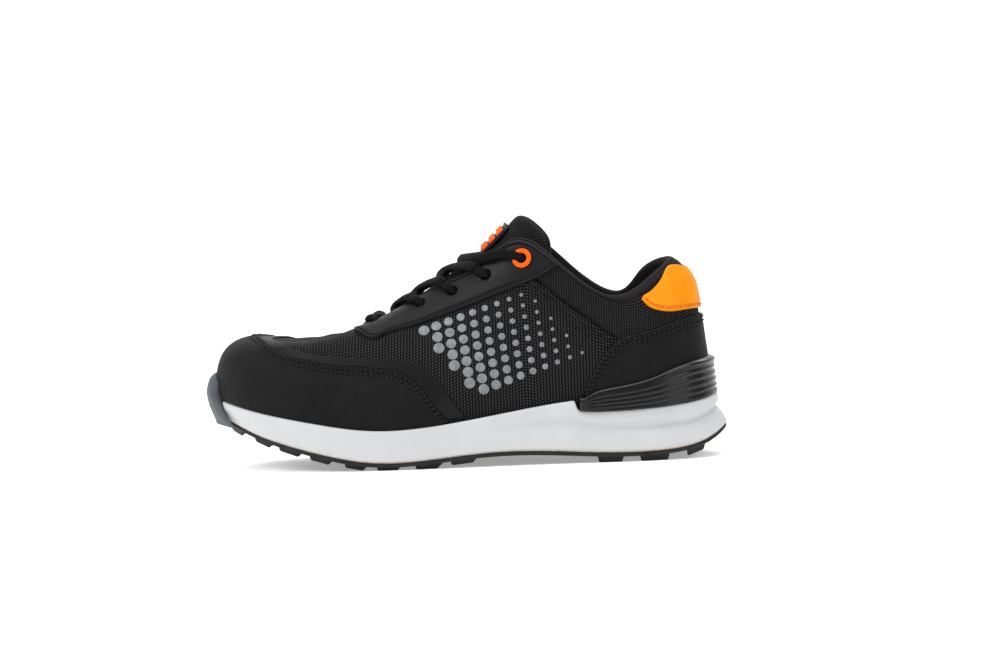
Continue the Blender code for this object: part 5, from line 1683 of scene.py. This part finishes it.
def knit_look(name, shade, light, pitch):
    """Fine warp knit with soft nap."""
    look = Look(name, shade, 0.85, Specular_IOR_Level=0.12, Sheen_Weight=0.03, Sheen_Roughness=0.5)
    cloth = look.place(True, (1.0, 1.0, 1.0))
    parts = look.add("ShaderNodeSeparateXYZ", Vector=cloth)
    ribs = look.math("SINE", look.math("MULTIPLY", parts.outputs[0], 2 * pi / pitch))
    loops = look.math("SINE", look.math("MULTIPLY", parts.outputs[1], 2 * pi / pitch / 0.8))
    weave = look.math("MULTIPLY", ribs, loops)
    fuzz = look.noise(cloth, 2.2, 4.0)
    mixed = look.math("MULTIPLY_ADD", weave, 0.34, fuzz)
    look.tint(mixed, (0.25, shade), (0.9, light))
    look.bump(look.math("MULTIPLY_ADD", weave, 0.5, fuzz), 0.6, 0.0003)
    return look


def lace_look(name):
    """Braided yarn of the lace."""
    look = Look(name, (10, 10, 11), 0.7, Specular_IOR_Level=0.08, Sheen_Weight=0.01, Sheen_Roughness=0.4)
    cloth = look.place(True, (1.0, 1.0, 1.0))
    parts = look.add("ShaderNodeSeparateXYZ", Vector=cloth)
    along = look.math("MULTIPLY", parts.outputs[0], 2 * pi / BRAID_PITCH)
    turned = look.math("MULTIPLY", parts.outputs[1], 2 * pi / 0.9)
    ribs = look.math("SINE", along)
    braid = look.math("MULTIPLY_ADD", look.math("SINE", look.math("ADD", along, turned)), 0.3, ribs)
    fuzz = look.noise(cloth, 5.0, 3.0)
    mixed = look.math("MULTIPLY_ADD", braid, 0.32, fuzz)
    look.tint(mixed, (0.2, (2, 2, 3)), (0.95, (21, 21, 23)))
    look.bump(mixed, 0.8, 0.0004)
    return look


def tab_look(name):
    """Bright smooth synthetic leather."""
    look = Look(name, (222, 136, 0), 0.45, Specular_IOR_Level=0.12)
    spot = look.place()
    look.bump(look.cells(spot, 1.6, "DISTANCE_TO_EDGE"), 0.18, 0.0002)
    rubs = look.noise(spot, 0.1, 5.0, 0.6, 0.4)
    look.tint(rubs, (0.34, (212, 124, 0)), (0.66, (219, 133, 0)))
    return look


def thread_look(name, shade, light):
    """Twisted sewing thread."""
    look = Look(name, shade, 0.7, Specular_IOR_Level=0.28)
    spot = look.place()
    twist = look.noise(spot, 4.0, 2.0)
    look.tint(twist, (0.35, shade), (0.75, light))
    look.bump(twist, 0.6, 0.0002)
    return look


def print_look(name):
    """Glass-bead film: grey with a fine sparkle."""
    look = Look(name, (128, 132, 135), 0.5, Specular_IOR_Level=0.5, Metallic=0.25)
    spot = look.place()
    beads = look.cells(spot, 4.0)
    worn = look.noise(spot, 0.4, 5.0, 0.7)
    mixed = look.math("MULTIPLY_ADD", beads, 0.35, worn)
    look.tint(mixed, (0.45, (84, 87, 90)), (0.9, (128, 132, 135)))
    look.bump(beads, 0.5, 0.0002)
    return look


def cement_look(name):
    """Dried cement, yellowish and uneven."""
    look = Look(name, (172, 152, 118), 0.55)
    spot = look.place()
    stains = look.noise(spot, 0.4, 4.0)
    look.tint(stains, (0.35, (150, 134, 106)), (0.7, (188, 172, 142)))
    look.bump(look.noise(spot, 1.2, 3.0), 0.4, 0.0004)
    return look


def ring_look(name):
    """Bright moulded plastic of rings and label blocks."""
    look = Look(name, (238, 84, 2), 0.5, Specular_IOR_Level=0.1)
    spot = look.place()
    look.tint(look.noise(spot, 0.5, 3.0), (0.35, (226, 80, 0)), (0.7, (238, 94, 1)))
    look.bump(look.noise(spot, 2.0, 3.0), 0.15, 0.0002)
    return look


def floor_look(name):
    """Pale paper, lightly lit from within."""
    look = Look(name, (246, 246, 246), 0.6, Specular_IOR_Level=0.3, Emission_Strength=0.32)
    look.shader.inputs["Emission Color"].default_value = (1.0, 1.0, 1.0, 1.0)
    spot = look.place()
    clouds = look.noise(spot, 0.004, 2.0)
    look.tint(clouds, (0.3, (245, 245, 245)), (0.7, (248, 248, 248)))
    look.bump(look.noise(spot, 0.3, 2.0), 0.03, 0.0002)
    return look


def make_stage():
    """Pale floor that sweeps up behind, a white world and soft lights."""
    arc = [(-FLOOR_REACH, 0.0), (FLOOR_BEND_Y, 0.0)]
    for angle in np.linspace(0, pi / 2, 24)[1:]:
        arc.append((FLOOR_BEND_Y + FLOOR_BEND * sin(angle), FLOOR_BEND - FLOOR_BEND * cos(angle)))
    arc.append((FLOOR_BEND_Y + FLOOR_BEND, FLOOR_TOP_Z))
    verts = [(x, y, z) for x in (-FLOOR_REACH, FLOOR_REACH) for y, z in arc]
    count = len(arc)
    faces = [(k, k + 1, count + k + 1, count + k) for k in range(count - 1)]
    mesh = bpy.data.meshes.new("floor")
    mesh.from_pydata(verts, [], faces)
    mesh.shade_smooth()
    mesh.materials.append(floor_look("floor_paper").material)
    floor = bpy.data.objects.new("floor", mesh)
    bpy.context.scene.collection.objects.link(floor)
    world = bpy.data.worlds.new("studio")
    world.use_nodes = True
    world.node_tree.nodes["Background"].inputs["Color"].default_value = (1.0, 1.0, 1.0, 1.0)
    world.node_tree.nodes["Background"].inputs["Strength"].default_value = WORLD_LIGHT
    bpy.context.scene.world = world
    for name, spot, size, power in LIGHTS:
        lamp = bpy.data.lights.new(name, "AREA")
        lamp.shape = "RECTANGLE"
        lamp.size, lamp.size_y = size
        lamp.energy = power
        piece = bpy.data.objects.new(name, lamp)
        piece.matrix_world = look_from(Vector(spot), Vector(LIGHT_AIM))
        bpy.context.scene.collection.objects.link(piece)


def look_from(eye, target):
    """Placement at eye, facing the target, upright."""
    turned = (target - eye).to_track_quat("-Z", "Y")
    return Matrix.Translation(eye) @ turned.to_matrix().to_4x4()


def make_camera():
    """Camera of the picture, as named at the top."""
    azimuth = radians(CAMERA_AZIMUTH)
    elevation = radians(CAMERA_ELEVATION)
    away = Vector((sin(azimuth) * cos(elevation), -cos(azimuth) * cos(elevation), sin(elevation)))
    lens = bpy.data.cameras.new("camera")
    lens.sensor_width = 36.0
    lens.lens = CAMERA_LENS
    lens.clip_start = 0.05
    camera = bpy.data.objects.new("camera", lens)
    bpy.context.scene.collection.objects.link(camera)
    roll = Matrix.Rotation(radians(CAMERA_ROLL), 4, "Z")
    camera.matrix_world = look_from(LOOK_AT + away * CAMERA_FAR, LOOK_AT) @ roll
    bpy.context.scene.camera = camera


mesh = mesh_look("air_mesh").material
fine = mesh_look("fine_mesh", (1, 1, 1), (50, 49, 50), FINE_PITCH).material
lining = knit_look("lining_knit", (5, 5, 5), (38, 35, 34), LINING_PITCH).material
nubuck = nubuck_look("nubuck").material
stay = film_look("stay_film", (17, 17, 19), 0.5).material
film = film_look("trim_film").material
tab = tab_look("tab_leather").material
lug = rubber_look("tread_rubber", (20, 20, 22), (38, 38, 40)).material
grey_rubber = rubber_look("bumper_rubber", (64, 69, 73), (84, 89, 92)).material
foam = foam_look("foam").material
make_upper(mesh, fine, lining)
sewn = make_overlays({"nubuck": nubuck, "film": film, "stay": stay, "tab": tab, "mesh": mesh})
thread = thread_look("thread", (4, 4, 5), (18, 18, 19)).material
stitches("seams", sewn["thread"], thread)
tab_thread = thread_look("tab_thread", (196, 100, 4), (226, 124, 8)).material
stitches("tab_seam", sewn["tab_thread"], tab_thread)
make_midsole(foam)
make_outsole(lug)
make_bumper(grey_rubber)
make_glue(cement_look("cement").material)
make_clip(clip_look("clip_plastic").material)
make_insole(knit_look("insole_knit", (24, 23, 23), (70, 68, 66), KNIT_PITCH).material)
make_tongue(mesh_look("tongue_mesh", (1, 1, 1), (41, 40, 41)).material, lining)
ring = ring_look("ring").material
make_label(rubber_look("label_rubber", (12, 12, 13), (26, 26, 28)).material, ring)
make_rings(ring)
make_laces(lace_look("lace_braid").material)
make_print(print_look("reflective_print").material)
make_stage()
make_camera()
bpy.context.scene.view_settings.view_transform = "Standard"
